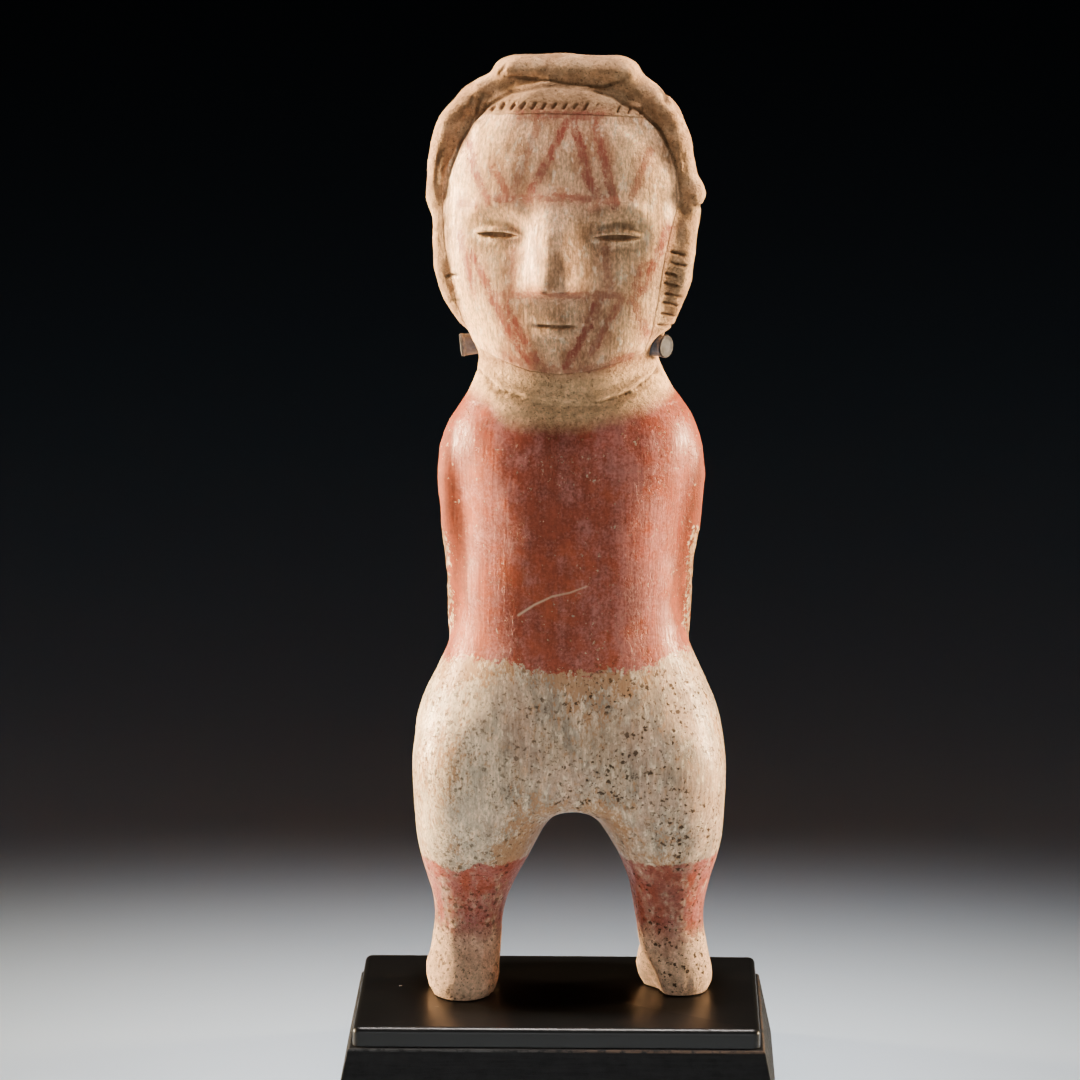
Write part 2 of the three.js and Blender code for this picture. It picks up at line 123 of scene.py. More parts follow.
class ClayShape(PropertyGroup):
    """How the clay surface is meshed and worked."""

    grain: length("Mesh grain", "Edge length of the even mesh laid over the solid", 0.00146)
    unevenness: length("Unevenness", "How far the hand-smoothed surface wanders", 0.0004)
    tick_depth: length("Tick depth", "Depth of the tool marks along the hairline", 0.0009)
    notch_depth: length("Notch depth", "Depth of the notches in the side hair", 0.0009)
    crack_depth: length("Crack depth", "Depth of the crack under the neck ring", 0.0007)
    seat_depth: length("Seat depth", "How deep each ear spool sits in its lobe", 0.0045)
    body_rounds: IntProperty(
        name="Body smoothing", description="Rounds of smoothing on the plain body", default=26, min=0
    )


class ClayColours(PropertyGroup):
    """Slips, bare clay, dirt, and painted light and shade."""

    red: paint("Red slip", "Burnished red slip of the torso and shins", (0.285, 0.056, 0.030))
    warm_red: paint("Warm red", "Warmer patches of the red slip", (0.41, 0.082, 0.034))
    brown_red: paint("Brown red", "Darker, browner middle of the shins", (0.19, 0.055, 0.035))
    # Darker than the red slip: painted shade along the figure's outline.
    shaded_arm_red: paint("Arm red", "Orange-red slip of the arms", (0.235, 0.039, 0.0145))
    cream: paint("Cream slip", "Cream slip of the hips", (0.62, 0.43, 0.28))
    grey_cream: paint("Grey cream", "Greyer patches of the cream slip", (0.37, 0.285, 0.205))
    rosy_cream: paint("Rosy cream", "Pinker patches of the cream slip", (0.56, 0.35, 0.235))
    face: paint("Face slip", "Warmer cream slip of the face", (0.84, 0.48, 0.265))
    pale_cream: paint("Pale cream", "Palest patches of the cream slip", (0.88, 0.68, 0.46))
    # Also a painted pinkish sheen on both sides of the chest.
    dusty_and_sheen_red: paint("Dusty red", "Paler, rubbed parts of the red slip", (0.52, 0.175, 0.142))
    pale_tan: paint("Pale clay", "Paler patches of the bare clay", (0.76, 0.46, 0.245))
    dark_face: paint("Dark face slip", "Thin and dirty parts of the face slip", (0.44, 0.215, 0.105))
    tan: paint("Bare clay", "Unslipped clay of the headband and feet", (0.52, 0.28, 0.135))
    # Also painted light on the fronts of the feet.
    light_and_lit_tan: paint("Light clay", "Light, rubbed clay of the feet", (0.92, 0.58, 0.37))
    # Also painted light on the neck ring under the chin and on the sides of the face.
    golden_and_lit: paint("Golden clay", "Golden clay of the neck ring and the sides of the face", (0.96, 0.57, 0.29))
    dark_tan: paint("Dark clay", "Darker patches of the bare clay", (0.34, 0.17, 0.08))
    nick: paint("Scratch", "Pale clay in the scratch across the belly", (0.78, 0.53, 0.35))
    sheen: paint("Sheen", "Warm tint of the polished slip's reflections", (1.0, 0.76, 0.60))
    line: paint("Face lines", "Faded brick-red lines of the face paint", (0.30, 0.075, 0.048))
    stain: paint("Stain", "Orange stains in the cream slip", (0.42, 0.20, 0.085))
    # Also painted shade in grooves, the neck crack, the ear seats, the eyes, the nostrils and hollows.
    dirt_and_shade: paint("Dirt", "Dirt in hollows and mineral specks", (0.045, 0.024, 0.012))


class SpoolColours(PropertyGroup):
    """The grey-brown clay of the ear spools."""

    body: paint("Spool clay", "Main colour of the ear spools", (0.20, 0.20, 0.225))
    rim: paint("Spool rim", "Lighter rubbed edges of the ear spools", (0.32, 0.27, 0.25))
    end: paint("Spool end", "Darker outer end of the ear spools", (0.023, 0.015, 0.010))


class StandFinish(PropertyGroup):
    """The black plate and the black block."""

    plate: paint("Plate", "Polished black of the plate", (0.0045, 0.0045, 0.0045))
    block: paint("Block", "Black stain of the wooden block", (0.0045, 0.0043, 0.0042))
    worn: paint("Worn wood", "Brown wood where the stain has rubbed off", (0.07, 0.045, 0.03))
    worn_grey: paint("Scuffed stain", "Grey scuffs of the stain", (0.035, 0.035, 0.034))
    rounding: length("Plate edge", "Radius of the plate's rounded top edge", 0.0021)
    corner: length("Plate corner", "Radius of the plate's upright corners", 0.0026)
    easing: length("Block edge", "Rounding of the block's edges", 0.0003)
    plate_dust: paint("Dust on the plate", "Specks of dust on the plate", (0.45, 0.44, 0.42))
    block_dust: paint("Dust on the block", "Specks of dust on the block", (0.40, 0.39, 0.37))


class Studio(PropertyGroup):
    """Floor, lights and camera."""

    floor: paint("Floor", "Pale floor", (0.60, 0.74, 0.90))
    floor_patches: paint("Floor patches", "Faint grey patches of the floor", (0.60, 0.60, 0.60))
    side_colour: paint("Side light colour", "Warm tint of the side lights", (1.0, 0.78, 0.50))
    top_colour: paint("Top light colour", "Slightly warm tint of the light above", (1.0, 0.92, 0.87))
    left_power: size("Left light", "Power of the left side light", 12.5, unit="POWER")
    right_power: size("Right light", "Power of the right side light", 8.8, unit="POWER")
    top_power: size("Top light", "Power of the weak light above", 0.76, unit="POWER")
    card_power: size("Front card", "Power of the dim card by the camera", 4.2, unit="POWER")
    room: share("Room light", "Strength of the even light of the room", 0.0005)
    lens: size("Lens", "Focal length on a 36 mm wide sensor, in millimetres", 158.8)


# Meshes and objects


def mesh_from(bm, name):
    mesh = bpy.data.meshes.new(name)
    bm.to_mesh(mesh)
    bm.free()
    return mesh


def place_in_scene(mesh, name):
    made = bpy.data.objects.new(name, mesh)
    bpy.context.scene.collection.objects.link(made)
    return made


def merged_copy(node):
    """A copy of a solid's mesh with its loose triangles joined."""
    bm = bmesh.new()
    bm.from_mesh(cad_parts[node].data)
    bmesh.ops.remove_doubles(bm, verts=bm.verts, dist=0.001 * MILLIMETRE)
    return bm


def dress(mesh, name, slot, material, *nodes):
    """Makes a mesh a piece of the part that stands for some of its solids."""
    mesh.materials.clear()
    mesh.materials.append(material)
    piece = place_in_scene(mesh, name)
    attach(piece, BODY)
    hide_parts(*nodes)
    return piece


def even_mesh(bm, grain):
    """One closed skin of even quads over everything in the mesh."""
    maker = place_in_scene(mesh_from(bm, "clay_form"), "clay_form")
    skin = maker.modifiers.new("Even mesh", "REMESH")
    skin.mode = "VOXEL"
    skin.voxel_size = grain
    shown = maker.evaluated_get(bpy.context.evaluated_depsgraph_get())
    made = bmesh.new()
    made.from_mesh(shown.to_mesh())
    shown.to_mesh_clear()
    bpy.data.objects.remove(maker)
    return made


def places_of(bm):
    """The vertices as an array in thousandths of the figure's height."""
    return (np.array([v.co for v in bm.verts]) - np.array(SOLES)) / THOUSANDTH


def to_head(places):
    """Places in the head's own frame."""
    turn = np.array(Matrix.Rotation(HEAD_TURN, 3, "Z"))
    return (places - np.array((HEAD_TO_RIGHT, 0, 0))) @ turn.T


def smooth(bm, verts, rounds):
    for _ in range(rounds):
        bmesh.ops.smooth_vert(
            bm, verts=verts, factor=0.5, use_axis_x=True, use_axis_y=True, use_axis_z=True
        )


def soften(bm, rounds):
    """Smooths each vertex for its own number of rounds."""
    done = 0
    for level in np.unique(rounds[rounds > 0]):
        smooth(bm, [v for v, own in zip(bm.verts, rounds) if own >= level], int(level - done))
        done = level


def refine(bm, chosen, rounds):
    """Cuts the chosen stretch of the mesh twice as fine and smooths it."""
    bm.verts.index_update()
    edges = [e for e in bm.edges if chosen[e.verts[0].index] and chosen[e.verts[1].index]]
    made = bmesh.ops.subdivide_edges(bm, edges=edges, cuts=1, use_grid_fill=True)
    verts = [g for g in made["geom_inner"] if isinstance(g, bmesh.types.BMVert)]
    verts += [v for v, own in zip(list(bm.verts)[: len(chosen)], chosen) if own]
    smooth(bm, verts, rounds)


# Number work on the clay's points


def bump(distance, reach):
    """A bell that is 1 at 0 and falls to 0 at the given reach."""
    t = np.minimum(np.abs(distance) / reach, 1)
    return (1 - t * t) ** 2


def smooth_step(value, low, high):
    t = np.clip((value - low) / (high - low), 0, 1)
    return t * t * (3 - 2 * t)


def from_oval(head):
    """How far out each place of the head is from the middle of the face, 1 at the oval's edge."""
    across = head[:, 0] / OVAL_HALF_WIDTH
    return np.hypot(across, (head[:, 2] - OVAL_MIDDLE) / OVAL_HALF_HEIGHT)


def line_distance(points, line):
    """How far each point is from a line of straight stretches, and how far along it, from 0 to 1."""
    line = np.asarray(line, float)
    stretches = np.linalg.norm(np.diff(line, axis=0), axis=1)
    starts = np.concatenate([[0], np.cumsum(stretches)])
    nearest = np.full(len(points), np.inf)
    along = np.zeros(len(points))
    for start, end, reach, before in zip(line, line[1:], stretches, starts):
        t = np.clip((points - start) @ (end - start) / reach**2, 0, 1)
        distance = np.linalg.norm(points - start - t[:, None] * (end - start), axis=1)
        closer = distance < nearest
        nearest[closer] = distance[closer]
        along[closer] = (before + t[closer] * reach) / starts[-1]
    return nearest, along


def curve(pairs, values):
    """Reads a curve through pairs of place and value."""
    places, heights = zip(*pairs)
    return np.interp(values, places, heights)


class Clay:
    """The points of the clay body as arrays in thousandths of its height, with masks to paint by."""

    def __init__(self, mesh):
        self.mesh = mesh
        self.masks = {}
        self.read()

    def read(self):
        flat = np.empty(len(self.mesh.vertices) * 3, np.float32)
        self.mesh.vertices.foreach_get("co", flat)
        self.places = (flat.reshape(-1, 3).astype(float) - np.array(SOLES)) / THOUSANDTH
        self.mesh.vertex_normals.foreach_get("vector", flat)
        self.facing = flat.reshape(-1, 3).astype(float)
        self.head = to_head(self.places)

    def face_front(self):
        """The front of the face, where the features are worked."""
        return self.head[:, 1] < -20

    def write(self):
        moved = self.places * THOUSANDTH + np.array(SOLES)
        self.mesh.vertices.foreach_set("co", moved.astype(np.float32).ravel())
        self.mesh.update()

    def push(self, amount):
        """Moves each point outwards along its normal, in thousandths."""
        self.places += self.facing * amount[:, None]

    def mark(self, name, amount):
        """Raises a mask to at least the given amount."""
        known = self.masks.get(name, np.zeros(len(self.places)))
        self.masks[name] = np.maximum(known, amount)

    def cut(self, line, half_width, depth, dark=1.0, on_body=False, side=FRONT):
        """Presses a groove along a line of (x, z) places on the head or body, and paints shade along its
        bottom.
        """
        spots = self.places if on_body else self.head
        distance, along = line_distance(spots[:, [0, 2]], line)
        taper = smooth_step(np.minimum(along, 1 - along), -0.05, 0.2)
        shape = bump(distance, half_width) * taper * smooth_step(spots[:, 1] * side, -25, -5)
        self.push(-shape * depth)
        # Painted shade along the groove's bottom.
        self.mark("grime_and_shade", np.clip(shape * 1.4, 0, 1) * dark)

    def store(self):
        for name, values in self.masks.items():
            layer = self.mesh.attributes.new(name, "FLOAT", "POINT")
            layer.data.foreach_set("value", values.astype(np.float32))


# Ear spools and their seats

PLUG_SIDES = 24
PLUG_FULLNESS = 1.06
SEAT_REACH = 24
SPOOL_END_INSET = 0.28
SPOOL_END_DISH = 0.35 * MILLIMETRE
SPOOL_UNEVENNESS = 0.22 * MILLIMETRE
SPOOL_SWELLS = 260


def spool_line(node):
    """The middles of a spool's inner and outer ends and its radius, from its solid."""
    points = np.array([v.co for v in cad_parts[node].data.vertices])
    middle = points.mean(axis=0)
    along = np.linalg.svd(points - middle, full_matrices=False)[2][0]
    along *= np.sign(along[0] * (middle[0] - SOLES.x))
    reach = (points - middle) @ along
    radius = np.linalg.norm(points - middle - reach[:, None] * along, axis=1).max()
    return Vector(middle + along * reach.min()), Vector(middle + along * reach.max()), radius


def add_plug(bm, node, depth):
    """Fills the seat of a spool, so that the skin laid over the clay closes there."""
    inner, outer, radius = spool_line(node)
    along = (outer - inner).normalized()
    middle = inner + along * depth * 0.4
    stand = along.to_track_quat("Z", "Y").to_matrix().to_4x4()
    bmesh.ops.create_cone(
        bm,
        cap_ends=True,
        segments=PLUG_SIDES,
        radius1=radius * PLUG_FULLNESS,
        radius2=radius * PLUG_FULLNESS,
        depth=depth * 1.1,
        matrix=Matrix.Translation(middle) @ stand,
    )


def open_seats(clay):
    """Presses the open end of each spool's seat into the clay, with painted shade round it."""
    for node in SPOOLS:
        inner, outer, radius = (np.array(v) for v in spool_line(node))
        inner, outer = ((end - np.array(SOLES)) / THOUSANDTH for end in (inner, outer))
        along = (outer - inner) / np.linalg.norm(outer - inner)
        height = (clay.places - inner) @ along
        out = np.linalg.norm(clay.places - inner - height[:, None] * along, axis=1)
        near = (height > 0) * (height < SEAT_REACH)
        rim = radius / THOUSANDTH + 1.2
        sunk = smooth_step(out, rim + 1.5, rim - 1) * near
        clay.places -= along * (sunk * np.clip(height - 2, 0, 6))[:, None]
        # Painted shade round the seat.
        clay.mark("grime_and_shade", smooth_step(out, rim + 4, rim) * near)


def spool_mesh(node):
    """A spool with a slightly dished outer end and slight swells over its side."""
    bm = merged_copy(node)
    inner, outer, radius = spool_line(node)
    along = (outer - inner).normalized()
    near = [f for f in bm.faces if (f.calc_center_median() - outer).length < radius]
    end = [f for f in near if f.normal.dot(along) > 0.95]
    bmesh.ops.inset_region(bm, faces=end, thickness=radius * SPOOL_END_INSET, depth=0)
    dished = list({v for f in end for v in f.verts})
    bmesh.ops.translate(bm, verts=dished, vec=-along * SPOOL_END_DISH)
    bmesh.ops.subdivide_edges(bm, edges=bm.edges, cuts=2, use_grid_fill=True)
    on_end = bm.verts.layers.float.new("end")
    for v in bm.verts:
        outwards = (v.co - inner).cross(along).cross(along).normalized()
        v.co += outwards * noise.noise(v.co * SPOOL_SWELLS) * SPOOL_UNEVENNESS
    for v in bm.verts:
        v[on_end] = float((v.co - outer).dot(along) > -0.5 * MILLIMETRE)
    return mesh_from(bm, node + "_piece")


# Clay figure

ARM_STRIP = [(96, 2, 630), (112, -10, 600), (119, -20, 560), (115, -20, 515)]
LEFT_ARM = [(395, 117), (412, 110), (430, 104), (462, 103), (524, 107), (555, 115), (586, 120), (617, 117),
            (632, 109), (648, 98), (665, 88)]
RIGHT_ARM = [(395, 113), (412, 106), (430, 102), (462, 106), (493, 113), (524, 120), (555, 127), (586, 131),
             (617, 124), (632, 115), (648, 101), (665, 90)]
FOREARM = [(115, -14, 500), (112, -6, 470), (110, 0, 430), (110, 12, 400), (108, 34, 380), (94, 62, 368),
           (70, 84, 368)]
SCRATCH = [(-52, 425), (-35, 437), (-17, 446), (1, 450), (19, 457)]


def mirrored(line, side):
    return [(side * x, *rest) for x, *rest in line]


def nearest_side(places, line):
    """How far each place is from a line or its mirror image."""
    return np.minimum(*(line_distance(places, mirrored(line, side))[0] for side in (-1, 1)))


def clay_rounds(places, body_rounds):
    """How long each place is smoothed: long on the plain body, briefly where the form is small."""
    height = places[:, 2]
    head = to_head(places)
    rounds = np.where(height < 60, 4, 9)
    off_arms = nearest_side(places, ARM_STRIP + FOREARM) > 42
    rounds[(height > ANKLES) & (height < NECK) & (off_arms | (height > 440))] = body_rounds
    rounds[(head[:, 2] > HEADBAND_LOW) & (from_oval(head) > 1)] = 5
    return rounds


def fine_places(places):
    """Where the mesh is cut finer once: the front of the head, the feet, the hands and the scratch."""
    _, y, z = places.T
    face = (z > NECK) & (to_head(places)[:, 1] < 0)
    front_feet = (z < ANKLES) & (y < -5)
    hands = (y > 60) & (np.abs(z - 368) < 30)
    nicked = (y < 0) & (line_distance(places[:, [0, 2]], SCRATCH)[0] < 9)
    return face | front_feet | hands | nicked


def finest_places(places):
    """Where it is cut finer again: eyes, mouth, tool marks, notches and the scratch."""
    head = to_head(places)
    x, z = np.abs(head[:, 0]), head[:, 2]
    near_eyes = (np.abs(x - EYE_OUT) < EYE_HALF + 4) & (np.abs(z - EYE_LINE) < 9)
    near_mouth = (x < MOUTH_HALF + 6) & (np.abs(z - MOUTH) < 9)
    near_nose = (x < 26) & (np.abs(z - NOSE_BASE - 5) < 13)
    ticks = (x < 94) & (z > HAIRLINE - 6) & (z < HAIRLINE + 14)
    notches = (head[:, 0] > 98) & (z > 712) & (z < 808)
    nicked = line_distance(places[:, [0, 2]], SCRATCH)[0] < 6
    return (head[:, 1] < 6) & (near_eyes | near_mouth | near_nose | ticks | notches | nicked)


def clay_mesh(shape):
    """The skin of the clay body before it is worked."""
    bm = merged_copy("figure")
    for node in SPOOLS:
        add_plug(bm, node, shape.seat_depth)
    bm = even_mesh(bm, shape.grain)
    soften(bm, clay_rounds(places_of(bm), shape.body_rounds))
    refine(bm, fine_places(places_of(bm)), 4)
    refine(bm, finest_places(places_of(bm)), 2)
    bmesh.ops.triangulate(bm, faces=[f for f in bm.faces if len(f.verts) > 4])
    mesh = mesh_from(bm, "figure_piece")
    mesh.shade_smooth()
    return mesh


def unevenness(clay, amount):
    """Slow swells left by hand smoothing, with quicker ones mostly on the rolled clay of the headband."""
    slow = np.array([noise.noise(Vector(p) / 62) for p in clay.places])
    quick = np.array([noise.noise(Vector(p) / 21 + Vector((7, 0, 0))) for p in clay.places])
    rolled = smooth_step(from_oval(clay.head), 0.98, 1.06) * (clay.head[:, 2] > HEADBAND_LOW)
    clay.push((slow + quick * (0.35 + 1.3 * rolled)) * amount / THOUSANDTH)


def eyes(clay):
    """A calm half-closed slit in a shallow socket, with a swelling ball and an upper and a lower lid."""
    x, z = clay.head[:, 0], clay.head[:, 2] - EYE_LINE
    out = (np.abs(x) - EYE_OUT) / EYE_HALF
    front = clay.face_front()
    socket = bump(np.hypot(out / 1.7, (z - 4) / 30), 1)
    ball = bump(np.hypot(out / 1.25, z / 15), 1)
    opening = 3.4 * np.clip(1 - out * out, 0, 1)
    inside = smooth_step(opening - np.abs(z), -0.6, 1.6) * (np.abs(out) < 1)
    reach = smooth_step(np.abs(out), 1.3, 0.8)
    upper = bump(z - opening - 2.4, 4) * reach
    lower = bump(z + opening + 1.8, 3.2) * reach
    brow = bump(z - (BROW - EYE_LINE) + 3 + 5 * out * out, 13) * smooth_step(np.abs(out), 1.7, 0.9)
    raised = 1.6 * brow + 4.6 * ball + 2.0 * upper + 0.9 * lower
    clay.push(front * (raised - 3.4 * socket - 4.4 * inside))
    # Painted shade inside the eye slit.
    clay.mark("grime_and_shade", front * inside * 0.8)


def mouth(clay):
    """Two even lips that meet in a level line, with a soft dip under them."""
    x, z = clay.head[:, 0], clay.head[:, 2]
    front = clay.face_front()
    upper = bump(z - MOUTH - 5, 6) * bump(x, MOUTH_HALF * 1.3)
    lower = bump(z - MOUTH + 6, 7) * bump(x, MOUTH_HALF * 1.1)
    dip = bump(z - MOUTH + 17, 8) * bump(x, MOUTH_HALF * 1.1)
    clay.push(front * (1.8 * upper + 2.2 * lower - 1.2 * dip))
    clay.cut([(-MOUTH_HALF, MOUTH + 0.5), (0, MOUTH), (MOUTH_HALF, MOUTH + 0.5)], 2.6, 3.0, 0.7)


def nose_wings(clay):
    """Plain rounded wings and two shallow nostrils under the nose."""
    x, z = np.abs(clay.head[:, 0]), clay.head[:, 2]
    front = clay.face_front()
    wing = bump(np.hypot((x - 12) / 12, (z - NOSE_BASE - 8) / 14), 1)
    nostril = bump(np.hypot((x - 8) / 4.5, (z - NOSE_BASE - 1) / 2.6), 1)
    clay.push(front * (1.6 * wing - 1.8 * nostril))
    # Painted shade in the nostrils.
    clay.mark("grime_and_shade", front * nostril * 0.5)


# The tool marks along the hairline from left to right: how strong each is, and the reach of the row
TICK_STRENGTHS = [1.0] * 11 + [0.3, 0.15, 0.9, 1.0, 0.6, 0.25]
TICKS_LEFT, TICKS_RIGHT = -84, 92


def hair_ticks(clay, depth):
    """Short slanted tool marks along the hairline, some of them faint towards the right."""
    chance = np.random.default_rng(4)
    for x, strength in zip(np.linspace(TICKS_LEFT, TICKS_RIGHT, len(TICK_STRENGTHS)), TICK_STRENGTHS):
        low = HAIRLINE + 4 - 7 * (x / TICKS_RIGHT) ** 2 + chance.uniform(-0.8, 0.8)
        slant = 4.0 - 0.02 * x + chance.uniform(-0.7, 0.7)
        tall = chance.uniform(6.5, 8.5)
        clay.cut([(x, low), (x + slant, low + tall)], 2.3, strength * depth / THOUSANDTH, 0.55 * strength)


def side_notches(clay, depth):
    """Notches across the side hair: a row of eight on the right and only two on the left."""
    chance = np.random.default_rng(9)
    for number in range(8):
        z = 799 - number * 10.6 + chance.uniform(-1.2, 1.2)
        inner = 113 - number * 1.9 + chance.uniform(-2, 2)
        outer = inner + chance.uniform(13, 18)
        bend = chance.uniform(-1.5, 0.5)
        line = [(inner, z + 2), (inner + 8, z + bend), (outer, z - 3)]
        clay.cut(line, 2.4, depth / THOUSANDTH, chance.uniform(0.3, 0.6))
    clay.cut([(-122, 770), (-105, 773)], 2.4, 0.8 * depth / THOUSANDTH, 0.8)
    clay.cut([(-117, 744), (-104, 746)], 2.0, 0.4 * depth / THOUSANDTH, 0.5)


def step_down(clay, line, rise, reach):
    """Lifts the clay just above a line across the front and sinks it just below, so that it overhangs."""
    x, y, z = clay.places.T
    height = z - curve(line, x)
    left, right = line[0][0], line[-1][0]
    ends = smooth_step(x, left - 3, left + 6) * smooth_step(-x, -right - 3, -right + 6)
    facing = ends * smooth_step(-y, -20, 0)
    above = bump(height - reach / 2, reach)
    below = bump(height + reach / 2, reach / 2)
    clay.push(facing * rise * (above - 0.8 * below))


RIM_CREASE = [(-122, 846), (-118, 872), (-106, 908), (-92, 930), (-77, 946), (-51, 961), (-7, 970), (30, 966),
              (51, 960), (80, 944), (101, 925), (116, 895), (124, 854)]


def headband_marks(clay):
    """Seams and creases where the rolls of the headband were pressed together."""
    clay.cut(RIM_CREASE, 3.0, 2.4, 0.55)
    clay.cut([(-70, 978), (-34, 975), (-8, 974), (13, 971), (45, 969), (62, 974), (72, 984)], 2.6, 1.8, 0.5)
    clay.cut([(-68, 976), (-62, 984), (-58, 992)], 3, 1.4, 0.4)
    clay.cut([(96, 972), (104, 962), (108, 951)], 3.2, 2.4, 0.7)
    clay.cut([(134, 848), (146, 845)], 3.2, 2.2, 0.8)
    clay.cut([(-80, 962), (-88, 946), (-90, 930)], 3.4, 1.6, 0.6)
    clay.cut([(-92, 958), (-98, 942)], 3.0, 1.3, 0.5)
    clay.cut([(-124, 905), (-130, 880), (-132, 858)], 4.5, 1.2, 0.5)
    clay.cut([(124, 905), (128, 880)], 4.0, 1.0, 0.4)


NECK_CRACK = [(-97, 673), (-84, 666), (-72, 657), (-40, 649), (-4, 645), (32, 647), (62, 656), (83, 668),
              (92, 676)]


def neck_crack(clay, depth):
    """The joint between neck ring and shoulders, open at both sides and closed in the middle."""
    step_down(clay, NECK_CRACK, 1.3, 8)
    spots = clay.places
    distance, along = line_distance(spots[:, [0, 2]], NECK_CRACK)
    middle = bump(along - 0.5, 0.34)
    waver = np.array([noise.noise(Vector(p) / 9) for p in spots]) * 1.8
    shape = bump(distance + waver, 2.4 - 0.7 * middle) * (spots[:, 1] < 0)
    clay.push(-shape * depth / THOUSANDTH * (1.2 - 0.8 * middle))
    # Painted shade in the crack, stronger at its open ends.
    clay.mark("grime_and_shade", np.clip(shape * 1.2, 0, 1) * (0.75 - 0.5 * middle))


def toes(clay):
    """Soft grooves that part the toes of the right foot."""
    clay.cut([(100, 74), (103, 52), (107, 28), (112, 4)], 7.5, 2.2, 0.12, on_body=True)
    clay.cut([(88, 30), (92, 16), (97, 4)], 5.0, 1.8, 0.12, on_body=True)
    clay.cut([(126, 26), (128, 6)], 5.0, 1.0, 0.08, on_body=True)


def fingers(clay):
    """Three grooves across each hand on the small of the back."""
    for side in (-1, 1):
        for up in (-6, 1, 8):
            line = [(side * 50, 369 + up), (side * 68, 370 + up)]
            clay.cut(line, 2.6, 2.2, 0.6, on_body=True, side=BACK)


def scratch(clay):
    """A pale scratch across the belly."""
    distance, along = line_distance(clay.places[:, [0, 2]], SCRATCH)
    width = 1.8 - 0.5 * along
    clay.mark("scratch", bump(distance / width, 1) * (clay.places[:, 1] < 0) * (1 - 0.4 * along))


# Where each slip lies. Each field is in thousandths, above 0 inside and below 0 outside.

NECKLINE = [(-112, 654), (-93, 650), (-81, 645), (-73, 634), (-64, 627), (-44, 624), (5, 624), (29, 627),
            (44, 632), (54, 633), (66, 639), (79, 641), (99, 650), (112, 657)]
WAIST = [(-130, 364), (-118, 371), (-104, 376), (-89, 373), (-64, 376), (-52, 372), (-40, 369), (-9, 367),
         (21, 366), (45, 369), (58, 366), (83, 367), (95, 375), (107, 381), (119, 377), (130, 372)]
SHIN_TOP = [(-165, 152), (-142, 151), (-125, 143), (-112, 142), (-101, 151), (-92, 155), (-76, 149),
            (-60, 153), (50, 156), (75, 152), (106, 152), (165, 158)]
FOOT_TOP = [(-165, 84), (-136, 84), (-120, 72), (-60, 78), (60, 86), (110, 68), (128, 80), (165, 86)]
SHIN_END = [(-165, 78), (-136, 76), (-122, 60), (-105, 30), (-88, 30), (-60, 66), (60, 76), (88, 56),
            (108, 38), (124, 60), (165, 78)]
LEFT_SHIN = -92
RIGHT_SHIN = 104
NECK_FADE = 0.11
SHIN_FADE = 0.2
FIELD_REACH = 30
ARM_FRONT = [(360, 40), (380, 14), (400, -8), (430, -16), (470, -22), (500, -26), (515, -24)]
FACE_SIDE = [(660, 60), (690, 84), (717, 94), (750, 101), (790, 107), (825, 114), (855, 121), (880, 119),
             (905, 109), (925, 97), (942, 84), (960, 60)]
FACE_LEFT = [(690, 2), (740, 10), (800, 12), (860, 4), (900, 0)]
CHIN_LINE = [(-95, 700), (-60, 688), (-30, 679), (0, 676), (30, 679), (60, 687), (95, 700)]

# The face paint: strength, then (x, z) places in the head's frame
FACE_LINES = [
    (0.9, [(-42, 940), (-10, 942), (44, 940)]),
    (1.0, [(9, 936), (-7, 902), (-25, 866)]),
    (0.6, [(-20, 934), (-33, 896), (-47, 860)]),
    (0.9, [(-67, 886), (-49, 860)]),
    (1.0, [(14, 938), (26, 905), (31, 888), (30, 882), (43, 860)]),
    (0.95, [(36, 936), (47, 902), (57, 862), (60, 852)]),
    (1.0, [(-95, 908), (-88, 885), (-72, 852)]),
    (0.75, [(93, 906), (84, 884), (76, 860)]),
    (0.9, [(-62, 856), (-30, 857), (5, 860), (38, 858), (62, 856)]),
    (0.8, [(-104, 847), (-84, 848)]),
    (0.55, [(22, 856), (30, 846), (44, 850)]),
    (0.85, [(-72, 756), (-40, 758), (0, 760), (45, 760), (80, 758)]),
    (1.0, [(-92, 800), (-78, 776), (-67, 752), (-48, 718), (-28, 686)]),
    (1.0, [(-57, 754), (-38, 718), (-18, 686)]),
    (0.7, [(-43, 800), (-47, 775), (-51, 757)]),
    (0.95, [(-104, 815), (-95, 786), (-88, 758)]),
    (1.0, [(46, 760), (34, 730), (24, 708), (8, 682)]),
    (0.9, [(67, 756), (52, 728), (36, 700)]),
    (0.7, [(50, 806), (53, 786), (55, 764)]),
    (0.95, [(110, 826), (98, 790), (86, 762)]),
    (0.85, [(88, 790), (80, 768), (74, 752)]),
    (0.8, [(79, 752), (84, 735), (90, 717)]),
    (0.75, [(-55, 693), (-30, 683), (8, 680), (45, 684), (74, 694)]),
]
LINE_HALF = 4.2

# The arch between the legs, where the cream is soiled
ARCH = [(-62, 150), (-45, 185), (-22, 206), (6, 212), (32, 204), (50, 182), (62, 150)]


def forearm_field(clay):
    """How far inside the bare strip of a forearm each place is."""
    y, z = clay.places[:, 1], clay.places[:, 2]
    strip = np.minimum(20 - nearest_side(clay.places, FOREARM), y - curve(ARM_FRONT, z))
    return np.minimum(strip, 508 - z)


